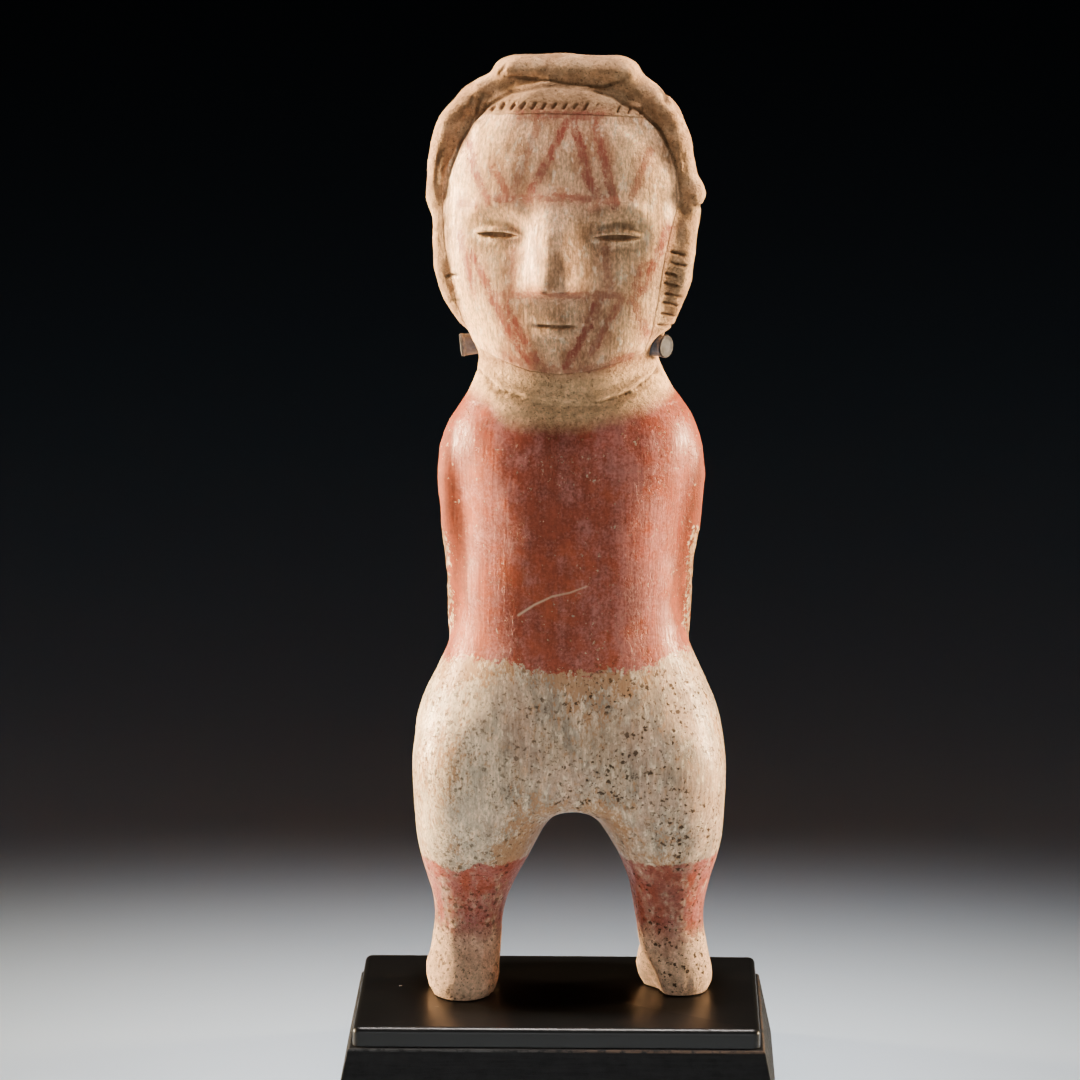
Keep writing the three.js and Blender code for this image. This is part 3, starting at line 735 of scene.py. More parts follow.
def slip_fields(clay):
    """Where the red slip and the bare clay lie, with cream between them, and how ragged their borders are."""
    x, _, z = clay.places.T
    under_neck = curve(NECKLINE, x) - z
    torso = np.minimum((under_neck - 1) * NECK_FADE, z - curve(WAIST, x))
    shins = np.minimum(curve(SHIN_TOP, x) - z, (z - curve(SHIN_END, x)) * SHIN_FADE)
    forearms = forearm_field(clay)
    red = np.minimum(np.maximum(torso, shins), -forearms)
    feet_and_arms = np.maximum((curve(FOOT_TOP, x) - z) * SHIN_FADE, forearms)
    bare = np.where(under_neck < 30, -face_field(clay), feet_and_arms)
    clay.masks["red_slip"] = np.clip(red, -FIELD_REACH, FIELD_REACH)
    clay.masks["bare_clay"] = np.clip(bare, -FIELD_REACH, FIELD_REACH)
    neck_feet_legs_waist = [under_neck < 30, z < 110, z < MID_HIP, z < 420]
    clay.masks["raggedness"] = np.select(neck_feet_legs_waist, [0.25, 1.8, 2.4, 6.5], default=4.0)


def slip_wear(clay):
    """Where the slips are pitted, worn off the shins, and soiled round the legs' arch and under the waist."""
    x, y, z = clay.places.T
    clay.masks["face_slip"] = (z > NECK).astype(float)
    clay.masks["pitting"] = (1 - 0.85 * smooth_step(z, 340, 400)) * (0.7 + 0.3 * smooth_step(x, -60, 20))
    outer_shin = bump(np.hypot((x + 122) / 16, (z - 92) / 36), 1)
    clay.masks["wear"] = smooth_step(z, 200, 150) * (0.55 + 0.45 * outer_shin)
    arch = bump(line_distance(clay.places[:, [0, 2]], ARCH)[0], 42) * (y < 30)
    waist = 0.8 * bump(z - curve(WAIST, x) + 8, 24)
    clay.masks["soiled"] = np.maximum(arch, waist)


def face_field(clay):
    """How far inside the slipped face each place of the head is."""
    x, y, z = clay.head.T
    sides = curve(FACE_SIDE, z) - np.abs(x) + np.where(x < 0, curve(FACE_LEFT, z), 0)
    hair = HAIRLINE - 4 * (x / 80) ** 2 - z
    chin = z - curve(CHIN_LINE, x)
    return np.minimum(np.minimum(sides, hair), np.minimum(chin, -5 - y))


def face_paint(clay):
    """The nearest painted line at each place: how far inside it, and how strong it is."""
    spots = clay.head[:, [0, 2]]
    inside = np.full(len(spots), -12.0)
    strength = np.zeros(len(spots))
    for amount, line in FACE_LINES:
        reach = LINE_HALF * (0.75 + 0.35 * amount) - line_distance(spots, line)[0]
        nearer = (reach > inside) & (clay.head[:, 1] < -8)
        inside[nearer] = reach[nearer]
        strength[nearer] = amount
    clay.masks["paint_line"] = inside
    clay.masks["paint_strength"] = strength


def arms(clay):
    """The arms along the flanks, where the slip is a deeper orange and darker as painted shade along the
    outline, from an inner border at each height.
    """
    x, _, z = clay.places.T
    inside = np.where(x < 0, -x - curve(LEFT_ARM, z), x - curve(RIGHT_ARM, z))
    clay.masks["arm"] = smooth_step(inside, -4, 5) * smooth_step(z, 385, 405) * (z < 650)


def red_tones(clay):
    """Where the red is dusty on the shins, paler and pinker on both sides of the chest as a painted sheen,
    and brown down the shins' middles.
    """
    x, y, z = clay.places.T
    right = 0.7 * smooth_step(x, 5, 60) * smooth_step(x, 110, 85)
    left = 0.5 * smooth_step(-x, 30, 60) * smooth_step(-x, 95, 75)
    shins = smooth_step(z, 220, 150)
    on_shins = np.where(x < 0, 0.9, 0.5) * shins
    # Painted sheen on the chest's sides, dusty red on the shins.
    clay.masks["dusty_and_sheen"] = np.maximum(np.maximum(right, left) * (z > MID_HIP), on_shins)
    off_middle = np.abs(x - np.where(x < 0, LEFT_SHIN, RIGHT_SHIN))
    middles = smooth_step(off_middle, 28, 10) * smooth_step(z, 60, 100) * (y < 10)
    clay.masks["brown"] = np.where(x < 0, 0.35, 1.0) * shins * middles


def thin_and_rubbed(clay):
    """Where the red thins out over the feet, the clay of the feet and the left of the hips are painted
    lighter, partly paler clay and slip and partly painted light, and the left flank is less polished.
    """
    x, z = clay.places[:, 0], clay.places[:, 2]
    clay.masks["thin"] = smooth_step(z, 84, 52) * (0.55 + 0.2 * smooth_step(z, 50, 25) + 0.15 * (x < 0))
    # Painted light on the feet, partly lighter clay.
    clay.masks["pale_and_lit_clay"] = smooth_step(z, 95, 60)
    # Painted light on the left of the hips, partly paler slip.
    clay.masks["pale_and_lit_hip"] = smooth_step(-x, 50, 105) * smooth_step(z, 120, 180) * (z < 420)
    clay.masks["matt"] = smooth_step(z, 360, 410) * smooth_step(z, 600, 550) * smooth_step(-x, 40, 80)


def golden_and_lit_clay(clay):
    """Where the clay is golden and painted lighter: on the neck ring, as painted light where the head shades
    it, and on the sides of the face, golden slip with painted light from the side lamps.
    """
    y, z = clay.places[:, 1], clay.places[:, 2]
    neck = smooth_step(z, 588, 612) * smooth_step(z, 690, 665) * (y < 40)
    sides = smooth_step(np.abs(clay.head[:, 0]), 40, 78) * smooth_step(face_field(clay), 0, 12)
    clay.masks["golden_and_lit"] = np.maximum(0.85 * neck, 0.95 * sides)


def shaded_hair(clay):
    """Painted shade on the hair between the hairline and the coil."""
    x, _, z = clay.head.T
    hair = smooth_step(z, HAIRLINE + 2, HAIRLINE + 8) * (z < curve(RIM_CREASE, x))
    clay.mark("grime_and_shade", 0.34 * hair * (clay.places[:, 1] < 0))


def shade_in_hollows(clay):
    """How far each place lies in a hollow, above 0, or on a ridge, below 0, kept as painted shade in the
    hollows.
    """
    flat = np.empty(len(clay.mesh.edges) * 2, np.int32)
    clay.mesh.edges.foreach_get("vertices", flat)
    pairs = flat.reshape(-1, 2)
    ends = np.concatenate([pairs, pairs[:, ::-1]])
    count = np.bincount(ends[:, 0], minlength=len(clay.places))[:, None]
    soft = clay.places.copy()
    for _ in range(8):
        sums = [np.bincount(ends[:, 0], soft[ends[:, 1], axis], len(soft)) for axis in range(3)]
        soft = np.stack(sums, axis=1) / count
    height = clay.places[:, 2]
    small_forms = 1 - smooth_step(height, 70, 100) * smooth_step(height, 650, 630)
    sunk = ((soft - clay.places) * clay.facing).sum(axis=1)
    # Kept as a mask of painted shade in the hollows.
    clay.masks["hollow_shade"] = np.clip(sunk, -1.5, 1.5) * small_forms


def fuller_chest(clay):
    """Gives back the fullness of chest and arms that smoothing took."""
    x, _, z = clay.places.T
    sides = smooth_step(np.abs(x), 40, 110)
    clay.push(sides * (2.0 * bump(z - 610, 45) + 2.0 * bump(z - 425, 70) - 1.2 * bump(z - 515, 60)))


def feet(clay):
    """Two soft ridges down the left foot, a swelling by its toe, and a hollow between."""
    x, y, z = clay.places.T
    front = smooth_step(-y, -12, 8)
    ridges = bump(x + 122, 12) + 0.8 * bump(x + 92, 9)
    clay.push(front * 1.1 * ridges * bump(z - 46, 44))
    clay.push(front * 2.4 * bump(np.hypot((x + 84) / 15, (z - 16) / 17), 1))
    clay.push(-front * 1.5 * bump(np.hypot((x + 104) / 12, (z - 30) / 22), 1))


def rest_soles(clay):
    """Sets the soles down on the plate."""
    ground = (PLATE_TOP - SOLES.z) / THOUSANDTH + 0.1
    near = clay.places[:, 2] < 2.5
    clay.places[near, 2] = ground + (clay.places[near, 2] - clay.places[:, 2].min()) * 0.5


def worked_clay(shape):
    clay = Clay(clay_mesh(shape))
    unevenness(clay, shape.unevenness)
    eyes(clay)
    mouth(clay)
    nose_wings(clay)
    hair_ticks(clay, shape.tick_depth)
    side_notches(clay, shape.notch_depth)
    headband_marks(clay)
    neck_crack(clay, shape.crack_depth)
    fuller_chest(clay)
    feet(clay)
    toes(clay)
    fingers(clay)
    open_seats(clay)
    rest_soles(clay)
    clay.write()
    clay.read()
    scratch(clay)
    slip_fields(clay)
    slip_wear(clay)
    face_paint(clay)
    arms(clay)
    red_tones(clay)
    thin_and_rubbed(clay)
    golden_and_lit_clay(clay)
    shaded_hair(clay)
    shade_in_hollows(clay)
    clay.store()
    return clay.mesh


# Stand


def round_edges(bm, edges, radius, segments):
    return bmesh.ops.bevel(
        bm, geom=edges, offset=radius, segments=segments, profile=0.5, affect="EDGES", material=-1
    )


def plate_mesh(finish):
    """The plate: a slab with rounded upright corners and a rounded top edge."""
    low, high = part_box("base_plate")
    bm = bmesh.new()
    bmesh.ops.create_cube(bm, size=1, matrix=Matrix.Diagonal((*(high - low), 1)))
    bmesh.ops.translate(bm, verts=bm.verts, vec=(low + high) / 2)
    upright = [e for e in bm.edges if abs(e.verts[0].co.z - e.verts[1].co.z) > MILLIMETRE]
    round_edges(bm, upright, finish.corner, 6)
    rim = [e for e in bm.edges if min(v.co.z for v in e.verts) > high.z - 0.1 * MILLIMETRE]
    round_edges(bm, rim, finish.rounding, 6)
    mesh = mesh_from(bm, "base_plate_piece")
    mesh.shade_smooth()
    mesh.set_sharp_from_angle(angle=math.radians(30))
    return mesh


def block_mesh(finish):
    """The block: the solid with its edges eased a little."""
    bm = merged_copy("base_block")
    bmesh.ops.dissolve_limit(bm, angle_limit=math.radians(1), verts=bm.verts, edges=bm.edges)
    round_edges(bm, bm.edges[:], finish.easing, 2)
    return mesh_from(bm, "base_block_piece")


# Shader helpers

MOTTLE_SIZES = {"Wide": 1.0, "Middle": 3.6, "Small": 10.0, "Grain": 30.0}
SPECK_BEND = 2.1 * MILLIMETRE


def add(tree, kind, inputs=(), **settings):
    """Adds a node, sets its options and links or sets its inputs."""
    made = tree.nodes.new(kind)
    for name, value in settings.items():
        setattr(made, name, value)
    for socket, value in dict(inputs).items():
        if isinstance(value, NodeSocket):
            tree.links.new(value, made.inputs[socket])
        else:
            made.inputs[socket].default_value = value
    return made


def calculate(tree, operation, first, second=0.0, clamp=False):
    made = add(tree, "ShaderNodeMath", {0: first, 1: second}, operation=operation, use_clamp=clamp)
    return made.outputs[0]


def times(tree, first, second):
    return calculate(tree, "MULTIPLY", first, second)


def larger(tree, first, second):
    return calculate(tree, "MAXIMUM", first, second)


def weighted(tree, *terms):
    """The sum of some values, each times its own weight."""
    total = 0.0
    for value, weight in terms:
        total = calculate(tree, "ADD", total, times(tree, value, weight))
    return total


def step(tree, value, low, high, to_low=0.0, to_high=1.0):
    """A soft step of a value between two limits."""
    inputs = {"Value": value, "From Min": low, "From Max": high, "To Min": to_low, "To Max": to_high}
    return add(tree, "ShaderNodeMapRange", inputs, interpolation_type="SMOOTHSTEP").outputs[0]


def colour(rgb):
    return (*rgb, 1.0)


def mix(tree, factor, first, second, blend="MIX"):
    made = add(tree, "ShaderNodeMix", data_type="RGBA", blend_type=blend)
    for socket, value in zip((0, 6, 7), (factor, first, second)):
        if isinstance(value, NodeSocket):
            tree.links.new(value, made.inputs[socket])
        else:
            made.inputs[socket].default_value = value
    return made.outputs[2]


def stretched(tree, coords, scale):
    inputs = {"Vector": coords, "Scale": scale}
    return add(tree, "ShaderNodeMapping", inputs).outputs[0]


def cloud(tree, coords, scale, detail=3.0, roughness=0.5, distortion=0.0):
    inputs = {
        "Vector": coords, "Scale": scale, "Detail": detail, "Roughness": roughness, "Distortion": distortion
    }
    return add(tree, "ShaderNodeTexNoise", inputs).outputs[0]


def attribute(tree, name):
    return add(tree, "ShaderNodeAttribute", attribute_name=name).outputs["Fac"]


def new_group(name, inputs, outputs):
    """An empty node group with number inputs and outputs, its input node and its output node."""
    tree = bpy.data.node_groups.new(name, "ShaderNodeTree")
    tree.interface.new_socket("Vector", in_out="INPUT", socket_type="NodeSocketVector")
    for socket, value in inputs.items():
        made = tree.interface.new_socket(socket, in_out="INPUT", socket_type="NodeSocketFloat")
        made.default_value = value
    for socket in outputs:
        tree.interface.new_socket(socket, in_out="OUTPUT", socket_type="NodeSocketFloat")
    return tree, tree.nodes.new("NodeGroupInput").outputs, tree.nodes.new("NodeGroupOutput").inputs


def placed_group(tree, group, **inputs):
    """Places a node group with its own values and gives its outputs by name."""
    made = add(tree, "ShaderNodeGroup", inputs, node_tree=group)
    return {output.name: output for output in made.outputs}


def scaled(tree, coords, scale):
    inputs = {0: coords, "Scale": scale}
    return add(tree, "ShaderNodeVectorMath", inputs, operation="SCALE").outputs[0]


def streak_group():
    """Polishing streaks along Z: fine lines with broader bands under them."""
    tree, given, out = new_group("Polishing streaks", {"Across": 900.0, "Along": 45.0}, ["Fine", "Broad"])
    scales = {"X": given["Across"], "Y": given["Across"], "Z": given["Along"]}
    scale = add(tree, "ShaderNodeCombineXYZ", scales).outputs[0]
    drawn = stretched(tree, given["Vector"], scale)
    tree.links.new(cloud(tree, drawn, 1.0, 3.0, 0.6), out["Fine"])
    tree.links.new(cloud(tree, scaled(tree, drawn, 0.22), 1.0, 2.0, 0.5), out["Broad"])
    return tree


def speck_group():
    """Small specks or pits of mixed sizes and slightly bent outlines, as a mask."""
    tree, given, out = new_group("Specks", {"Scale": 400.0, "Share": 0.1, "Size": 0.3}, ["Mask"])
    warp = add(tree, "ShaderNodeTexNoise", {"Vector": given["Vector"], "Scale": 1100.0, "Detail": 3.0})
    bent = {0: warp.outputs["Color"], 1: (SPECK_BEND,) * 3}
    bent = add(tree, "ShaderNodeVectorMath", bent, operation="MULTIPLY").outputs[0]
    spots = add(tree, "ShaderNodeVectorMath", {0: given["Vector"], 1: bent}, operation="ADD").outputs[0]
    cells = add(tree, "ShaderNodeTexVoronoi", {"Vector": spots, "Scale": given["Scale"]})
    chance = add(tree, "ShaderNodeSeparateColor", {"Color": cells.outputs["Color"]})
    chosen = calculate(tree, "LESS_THAN", chance.outputs[0], given["Share"])
    radius = times(tree, calculate(tree, "ADD", chance.outputs[1], 0.35), given["Size"])
    edge = calculate(tree, "SUBTRACT", radius, cells.outputs["Distance"])
    tree.links.new(times(tree, step(tree, edge, -0.03, 0.06), chosen), out["Mask"])
    return tree


def mottle_group():
    """Uneven tone at four sizes, each around a half."""
    tree, given, out = new_group("Mottle", {"Scale": 40.0}, list(MOTTLE_SIZES))
    for name, finer in MOTTLE_SIZES.items():
        scale = times(tree, given["Scale"], finer)
        tree.links.new(cloud(tree, given["Vector"], scale, 4.0, 0.6), out[name])
    return tree


def craze_group():
    """Thin wandering hairlines, as a mask."""
    tree, given, out = new_group("Crazing", {"Scale": 240.0, "Width": 0.012}, ["Mask"])
    field = cloud(tree, given["Vector"], given["Scale"], 2.0, 0.5, 1.4)
    away = calculate(tree, "ABSOLUTE", calculate(tree, "SUBTRACT", field, 0.5))
    line = calculate(tree, "SUBTRACT", 1.0, calculate(tree, "DIVIDE", away, given["Width"]), clamp=True)
    patches = step(tree, cloud(tree, given["Vector"], 90.0, 2.0), 0.45, 0.60)
    tree.links.new(times(tree, line, patches), out["Mask"])
    return tree


def new_material(name):
    """A material with its node tree, object coordinates and shader."""
    material = bpy.data.materials.new(name)
    material.use_nodes = True
    tree = material.node_tree
    shader = tree.nodes["Principled BSDF"]
    coords = tree.nodes.new("ShaderNodeTexCoord").outputs["Object"]
    return material, tree, shader, coords


def plug_in(tree, shader, base, roughness, height, depth, specular):
    """Links colour, roughness and relief to the shader and sets its specular level."""
    shader.inputs["Specular IOR Level"].default_value = specular
    tree.links.new(base, shader.inputs["Base Color"])
    tree.links.new(roughness, shader.inputs["Roughness"])
    made = add(tree, "ShaderNodeBump", {"Height": height, "Distance": depth, "Strength": 1.0})
    tree.links.new(made.outputs[0], shader.inputs["Normal"])


# Materials

# Patches: a pattern, where it starts and ends, the share of the patch at both, its colour, and a mask or none
BARE_PATCHES = (
    ("Wide", 0.40, 0.68, 0.0, 0.8, "dark_tan", None),
    ("Middle", 0.48, 0.66, 0.0, 0.6, "pale_tan", None),
    # Lighter clay with painted light on the feet.
    ("Middle", 0.40, 0.58, 1.0, 0.75, "light_and_lit_tan", "pale_and_lit_clay"),
    # Painted light on the neck ring, where the head shades it, over golden clay.
    ("Middle", 0.38, 0.60, 0.95, 0.5, "golden_and_lit", "golden_and_lit"),
)
CREAM_PATCHES = (
    ("Middle", 0.42, 0.60, 0.0, 1.0, "grey_cream", None),
    ("Wide", 0.50, 0.40, 0.0, 0.6, "rosy_cream", None),
    ("Small", 0.54, 0.68, 0.0, 0.6, "tan", None),
    ("Small", 0.46, 0.34, 0.0, 0.7, "pale_cream", None),
    # Paler slip with painted light on the left of the hips.
    ("Middle", 0.36, 0.58, 0.9, 0.4, "pale_cream", "pale_and_lit_hip"),
)
FACE_PATCHES = (
    ("Middle", 0.42, 0.64, 0.0, 0.85, "dark_face", None),
    # Golden slip and painted light on the sides of the face.
    ("Middle", 0.38, 0.62, 1.0, 0.45, "golden_and_lit", "golden_and_lit"),
    ("Small", 0.46, 0.36, 0.0, 0.5, "pale_cream", None),
)
RED_PATCHES = (("Wide", 0.46, 0.62, 0.0, 0.65, "warm_red", None),)
SPOOL_PATCHES = (("Wide", 0.3, 0.7, 0.95, 0.6, "end", "end"),)

# Tones: a pattern, its low and high end, and how much the colour is darkened or lightened at both
BARE_TONES = (("Small", 0.36, 0.64, 0.80, 1.14), ("Grain", 0.36, 0.62, 0.84, 1.12))
CREAM_TONES = (
    ("Grain", 0.36, 0.64, 1.12, 0.80),
    ("Fine", 0.34, 0.66, 0.82, 1.14),
    ("Broad", 0.36, 0.64, 0.90, 1.06),
)
FACE_TONES = (
    ("Small", 0.36, 0.64, 1.12, 0.94),
    ("Grain", 0.36, 0.62, 0.74, 1.22),
    ("Fine", 0.34, 0.66, 0.74, 1.18),
)
RED_TONES = (
    ("Middle", 0.38, 0.60, 1.08, 0.86),
    ("Small", 0.38, 0.62, 0.92, 1.08),
    ("Grain", 0.38, 0.62, 0.90, 1.08),
    ("Fine", 0.34, 0.66, 0.92, 1.08),
)
SPOOL_TONES = (("Middle", 0.35, 0.65, 0.7, 1.2),)
WOOD_TONES = (("Wood", 0.35, 0.65, 0.7, 1.5),)

# How patterns are drawn out: by the brush, up the figure and along the wood
BRUSHED = (1.0, 1.0, 0.5)
UPRIGHT = (1.0, 1.0, 0.22)
WOOD_GRAIN = (60.0, 900.0, 900.0)

# How far noise moves the borders of the slips, times their raggedness, and of the face paint
BORDER_REACH = 8.0
LINE_RAGGEDNESS = 14.0

# Relief, specular level and, for bare clay, roughness
CLAY_RELIEF = 0.32 * MILLIMETRE
SPOOL_RELIEF = 0.08 * MILLIMETRE
PLATE_RELIEF = 0.01 * MILLIMETRE
WOOD_RELIEF = 0.25 * MILLIMETRE
CLAY_SPECULAR = 0.26
SPOOL_SPECULAR = 0.1
PLATE_SPECULAR = 0.3
WOOD_SPECULAR = 0.15
BARE_ROUGHNESS = 0.74


def grey(tree, value):
    return add(tree, "ShaderNodeCombineColor", {0: value, 1: value, 2: value}).outputs[0]


def patched(tree, base, colours, patterns, patches):
    """Lays patches of other colours over a colour."""
    for pattern, start, end, at_start, at_end, name, mask in patches:
        amount = step(tree, patterns[pattern], start, end, at_start, at_end)
        if mask:
            amount = times(tree, attribute(tree, mask), amount)
        base = mix(tree, amount, base, colour(getattr(colours, name)))
    return base


def toned(tree, base, patterns, tones):
    """Darkens and lightens a colour by patterns."""
    for pattern, low, high, at_low, at_high in tones:
        tone = step(tree, patterns[pattern], low, high, at_low, at_high)
        base = mix(tree, 1.0, base, grey(tree, tone), "MULTIPLY")
    return base


def bare_clay_colour(tree, colours, even):
    base = patched(tree, colour(colours.tan), colours, even, BARE_PATCHES)
    base = toned(tree, base, even, BARE_TONES)
    base = mix(tree, times(tree, even["Crazing"], 0.45), base, colour(colours.dirt_and_shade))
    return mix(tree, times(tree, even["Fine pits"], 0.5), base, colour(colours.dirt_and_shade))


def cream_colour(tree, colours, brushed):
    base = patched(tree, colour(colours.cream), colours, brushed, CREAM_PATCHES)
    base = toned(tree, base, brushed, CREAM_TONES)
    cracks = larger(tree, brushed["Crazing"], brushed["Hairlines"])
    base = mix(tree, times(tree, cracks, 0.6), base, colour(colours.dark_tan))
    soiled = ((brushed["Wide"], 1.0), (brushed["Small"], 0.6), (brushed["Grain"], 0.7))
    soiled = weighted(tree, *soiled, (attribute(tree, "soiled"), 0.17))
    return mix(tree, step(tree, soiled, 1.21, 1.36, 0.0, 0.75), base, colour(colours.stain))


def face_colour(tree, colours, brushed):
    base = patched(tree, colour(colours.face), colours, brushed, FACE_PATCHES)
    base = toned(tree, base, brushed, FACE_TONES)
    return mix(tree, times(tree, brushed["Crazing"], 0.45), base, colour(colours.dark_tan))


def red_colour(tree, colours, even):
    base = patched(tree, colour(colours.red), colours, even, RED_PATCHES)
    dusty_and_sheen = ((even["Middle"], 1.0), (even["Broad"], 0.4), (even["Grain"], 0.6))
    dusty_and_sheen = weighted(tree, *dusty_and_sheen, (attribute(tree, "dusty_and_sheen"), 0.20))
    # Pale pink: dusty red on the shins, painted sheen on the chest's sides.
    base = mix(tree, step(tree, dusty_and_sheen, 0.92, 1.34, 0.0, 0.9), base, colour(colours.dusty_and_sheen_red))
    base = mix(tree, times(tree, attribute(tree, "brown"), 0.6), base, colour(colours.brown_red))
    # Darker orange on the arms: painted shade along the outline.
    base = mix(tree, times(tree, attribute(tree, "arm"), 0.95), base, colour(colours.shaded_arm_red))
    return toned(tree, base, even, RED_TONES)


def ragged_field(tree, mask, breakup, reach):
    """A field of the clay whose borders are broken by noise of the given reach."""
    moved = times(tree, calculate(tree, "SUBTRACT", breakup, 0.5), reach)
    return calculate(tree, "ADD", attribute(tree, mask), moved)


def clay_patterns(tree, coords, groups):
    """The clay's patterns by name, with its mottle even, and with its mottle drawn out by the brush."""
    craze, specks = groups["craze"], groups["specks"]
    upright = stretched(tree, coords, UPRIGHT)
    shared = placed_group(tree, groups["streaks"], Vector=coords, Across=1000.0, Along=45.0)
    shared["Crazing"] = placed_group(tree, craze, Vector=coords, Scale=230.0, Width=0.012)["Mask"]
    shared["Hairlines"] = placed_group(tree, craze, Vector=upright, Scale=420.0, Width=0.016)["Mask"]
    shared["Pits"] = placed_group(tree, specks, Vector=coords, Scale=460.0, Share=0.9, Size=0.27)["Mask"]
    fine = placed_group(tree, specks, Vector=coords, Scale=1000.0, Share=0.6, Size=0.30)
    shared["Fine pits"] = fine["Mask"]
    shared["Breakup"] = cloud(tree, coords, 560.0, 6.0, 0.7)
    even = placed_group(tree, groups["mottle"], Vector=coords, Scale=38.0)
    brushed = placed_group(tree, groups["mottle"], Vector=stretched(tree, coords, BRUSHED), Scale=46.0)
    return {**even, **shared}, {**brushed, **shared}


def slip_mask(tree, mask, breakup):
    """Where a slip or the bare clay is, inside its ragged border."""
    reach = times(tree, attribute(tree, "raggedness"), BORDER_REACH)
    return step(tree, ragged_field(tree, mask, breakup, reach), -1.3, 1.3)


def red_mask(tree, even):
    """Where the red slip is, less where it is rubbed, chipped or thin."""
    red = slip_mask(tree, "red_slip", even["Breakup"])
    rubbed = ((even["Small"], 0.5), (even["Broad"], 0.5), (attribute(tree, "wear"), 0.26))
    red = times(tree, red, step(tree, weighted(tree, *rubbed), 0.88, 0.62))
    red = times(tree, red, step(tree, even["Breakup"], 0.68, 0.62))
    return times(tree, red, calculate(tree, "SUBTRACT", 1.0, attribute(tree, "thin")))


def line_mask(tree, coords, even):
    """Where the face paint is: worn lines with a faint haze along them."""
    line = step(tree, ragged_field(tree, "paint_line", even["Breakup"], LINE_RAGGEDNESS), -2.0, 1.6)
    haze = step(tree, attribute(tree, "paint_line"), -12.0, 0.0, 0.0, 0.45)
    line = times(tree, larger(tree, line, haze), attribute(tree, "paint_strength"))
    faded = step(tree, cloud(tree, coords, 260.0, 4.0, 0.7), 0.30, 0.54, 0.35, 1.0)
    faded = times(tree, faded, step(tree, even["Fine"], 0.36, 0.60, 0.7, 1.0))
    return times(tree, line, faded)


def pit_mask(tree, coords, even):
    """Where the pits are: in patches of the pitted slip."""
    patches = step(tree, cloud(tree, coords, 48.0, 3.0), 0.36, 0.52)
    pits = larger(tree, even["Pits"], times(tree, even["Fine pits"], 0.75))
    return times(tree, times(tree, pits, patches), attribute(tree, "pitting"))


def surface_masks(tree, coords, even):
    """Where the bare clay, the red slip, all slip, the lines, the pits, and the dirt and painted shade are.
    """
    bare = slip_mask(tree, "bare_clay", even["Breakup"])
    red = red_mask(tree, even)
    hollow_shade = step(tree, attribute(tree, "hollow_shade"), 0.25, 1.0, 0.0, 0.6)
    return {
        "bare": bare,
        "red": red,
        "slip": larger(tree, calculate(tree, "SUBTRACT", 1.0, bare), red),
        "line": line_mask(tree, coords, even),
        "pits": pit_mask(tree, coords, even),
        # Dirt and painted shade in grooves, cracks, seats and hollows.
        "dirt_and_shade": larger(tree, attribute(tree, "grime_and_shade"), hollow_shade),
    }


def clay_colour(tree, colours, even, brushed, masks):
    """Cream, bare clay, red, face lines, the scratch, pits, and dirt with painted shade, one over the other.
    """
    base = cream_colour(tree, colours, brushed)
    base = mix(tree, attribute(tree, "face_slip"), base, face_colour(tree, colours, brushed))
    base = mix(tree, masks["bare"], base, bare_clay_colour(tree, colours, even))
    base = mix(tree, masks["red"], base, red_colour(tree, colours, even))
    base = mix(tree, masks["line"], base, colour(colours.line))
    base = mix(tree, times(tree, attribute(tree, "scratch"), 0.92), base, colour(colours.nick))
    base = mix(tree, times(tree, masks["pits"], 0.9), base, colour(colours.dirt_and_shade))
    # Dirt and painted shade over everything.
    return mix(tree, masks["dirt_and_shade"], base, colour(colours.dirt_and_shade))


def clay_roughness(tree, even, masks):
    """Burnished slip over rough clay, drier on the arms, on the left flank, in pits and under the dirt and
    painted shade.
    """
    gloss = step(tree, even["Fine"], 0.34, 0.66, 0.50, 0.28)
    gloss = weighted(tree, (gloss, 1.0), (masks["red"], 0.04), (attribute(tree, "matt"), 0.16))
    rough = add(tree, "ShaderNodeMix", {0: masks["slip"], 2: BARE_ROUGHNESS, 3: gloss}).outputs[0]
    for mask, least in ((attribute(tree, "arm"), 0.72), (masks["pits"], 0.9), (masks["dirt_and_shade"], 0.85)):
        rough = larger(tree, rough, times(tree, mask, least))
    return rough


def clay_relief(tree, even, masks):
    """Streaks, cracks and pits, and the sandy skin of the bare clay and, weaker, of the face."""
    cracks = larger(tree, even["Crazing"], even["Hairlines"])
    dents = weighted(tree, (even["Grain"], 1.0), (even["Small"], 1.6))
    sandy = calculate(tree, "SUBTRACT", 1.1, masks["slip"])
    sandy = larger(tree, sandy, times(tree, attribute(tree, "face_slip"), 0.45))
    sandy = times(tree, dents, sandy)
    return weighted(tree, (even["Fine"], 0.4), (cracks, -0.25), (sandy, 1.0), (masks["pits"], -1.2))


def slipped_clay(colours, groups):
    """Burnished red and cream slips over bare clay, with face paint, pits, stains, dirt, and painted light
    and shade.
    """
    material, tree, shader, coords = new_material("slipped_clay")
    even, brushed = clay_patterns(tree, coords, groups)
    masks = surface_masks(tree, coords, even)
    base = clay_colour(tree, colours, even, brushed, masks)
    rough = clay_roughness(tree, even, masks)
    relief = clay_relief(tree, even, masks)
    shader.inputs["Specular Tint"].default_value = colour(colours.sheen)
    plug_in(tree, shader, base, rough, relief, CLAY_RELIEF, CLAY_SPECULAR)
    return material


